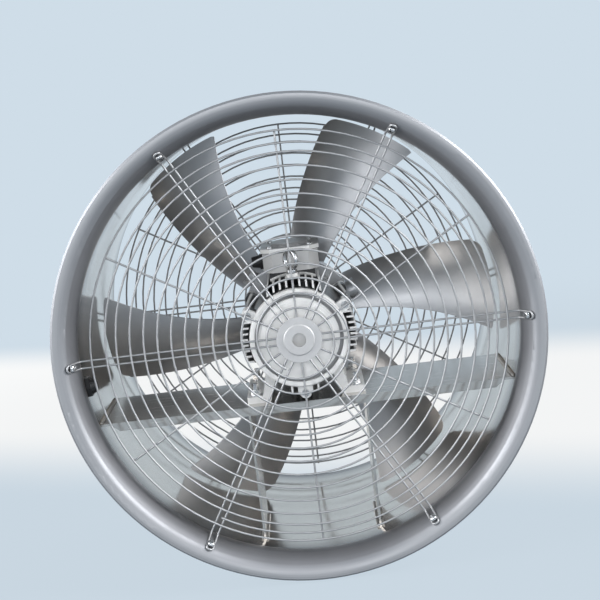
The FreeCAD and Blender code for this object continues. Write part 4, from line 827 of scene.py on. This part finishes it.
pale_floor, tree, surface, place = new_finish("pale_floor")
lean = add(tree, "Mapping", {"Vector": place, "Rotation": (0, 0, BAND_LEAN)})
back = add(tree, "SeparateXYZ", {0: lean.outputs[0]}).outputs["Y"]
# Painted light: a soft white band across the floor behind the fan, fading at its near and far edges.
near = add(tree, "MapRange", {"Value": back, "From Min": BAND_NEAR_FROM, "From Max": BAND_NEAR_FULL},
           interpolation_type="SMOOTHSTEP")
far = add(tree, "MapRange", {"Value": back, "From Min": BAND_FAR_END, "From Max": BAND_FAR_FULL},
          interpolation_type="SMOOTHSTEP")
light_band = add(tree, "Math", {0: near.outputs[0], 1: far.outputs[0]}, operation="MULTIPLY")
tone = add(tree, "Mix", {"Factor": light_band.outputs[0], FIRST: BACKDROP, SECOND: LIGHT_BAND}, data_type="RGBA")
away = add(tree, "VectorMath", {0: place}, operation="LENGTH").outputs["Value"]
fade = add(tree, "MapRange", {"Value": away, "From Min": SHADE_FROM, "From Max": SHADE_END,
                              "To Min": FLOOR_GLOW, "To Max": 1.0}, interpolation_type="SMOOTHSTEP")
share = add(tree, "Math", {0: shown(tree), 1: fade.outputs[0]}, operation="MULTIPLY")
glow = add(tree, "Emission", {"Color": tone.outputs[MIXED], "Strength": 1.0})
blend = add(tree, "MixShader", {0: share.outputs[0], 1: surface.outputs[0], 2: glow.outputs[0]})
tree.links.new(blend.outputs[0], tree.nodes["Material Output"].inputs["Surface"])
feed(tree, surface, Base_Color=FLOOR_GREY, Roughness=0.8, Specular_IOR_Level=0.2)
bpy.ops.object.select_all(action="DESELECT")
bpy.ops.mesh.primitive_plane_add(size=FLOOR_SIZE, location=(0, 0, cad_box[0][2] - FLOOR_GAP))
floor = bpy.context.object
floor.name = "floor"
floor.data.materials.append(pale_floor)

world = bpy.data.worlds.new("studio")
bpy.context.scene.world = world
world.use_nodes = True
tree = world.node_tree
sky = add(tree, "Mix", {"Factor": shown(tree), FIRST: FILL_GREY, SECOND: BACKDROP}, data_type="RGBA")
tree.links.new(sky.outputs[MIXED], tree.nodes["Background"].inputs["Color"])


# Lamps: soft boxes on both sides in front of the fan, a long one behind the camera and two behind the fan.
# Each has a place, a point that it is turned to, a width and height in metres, and a power in watts.
SQUARE_BOX = (1.8, 1.8)
LONG_BOX = (2.4, 0.8)
MOTOR_SIDE = (0, -0.1, 0)
IMPELLER_SIDE = (0, 0.1, 0)


def softbox(name, place, aim, size, power):
    """Soft lamp of a width and height at a place, turned to a point."""
    lamp = bpy.data.lights.new(name, "AREA")
    lamp.shape = "RECTANGLE"
    lamp.size, lamp.size_y = size
    lamp.energy = power
    made = bpy.data.objects.new(name, lamp)
    bpy.context.scene.collection.objects.link(made)
    made.location = place
    made.rotation_euler = (Vector(aim) - Vector(place)).to_track_quat("-Z", "Y").to_euler()


softbox("left_lamp", place=(-2.4, -0.8, 1.0), aim=MOTOR_SIDE, size=SQUARE_BOX, power=130)
softbox("right_lamp", place=(2.4, -0.8, 1.3), aim=MOTOR_SIDE, size=SQUARE_BOX, power=165)
softbox("front_lamp", place=(0, -3.0, 0.75), aim=(0, 0, 0), size=LONG_BOX, power=30)
softbox("left_rear_lamp", place=(-2.1, 2.0, 1.0), aim=IMPELLER_SIDE, size=SQUARE_BOX, power=44)
softbox("right_rear_lamp", place=(2.1, 2.0, 1.0), aim=IMPELLER_SIDE, size=SQUARE_BOX, power=44)


# Camera: fitted to the rims, the guard and the motor in the photograph, rolled as the photograph is.
# The direction to its right is squared to the direction that it looks in.
CAMERA_PLACE = (0.0334, -1.8889, 0.3218)
CAMERA_AHEAD = (-0.0151, 0.9877, -0.1558)
CAMERA_RIGHT = (0.993, -0.0034, -0.1183)
VIEW_ANGLE = math.radians(26.274)
camera_data = bpy.data.cameras.new("photo_view")
camera_data.sensor_fit = "HORIZONTAL"
camera_data.angle = VIEW_ANGLE
camera = bpy.data.objects.new("photo_view", camera_data)
bpy.context.scene.collection.objects.link(camera)
ahead = Vector(CAMERA_AHEAD).normalized()
right = Vector(CAMERA_RIGHT)
right = (right - ahead * right.dot(ahead)).normalized()
turned = Matrix((right, right.cross(ahead), -ahead)).transposed().to_4x4()
camera.matrix_world = Matrix.Translation(CAMERA_PLACE) @ turned
bpy.context.scene.camera = camera
bpy.context.scene.view_settings.view_transform = "Standard"
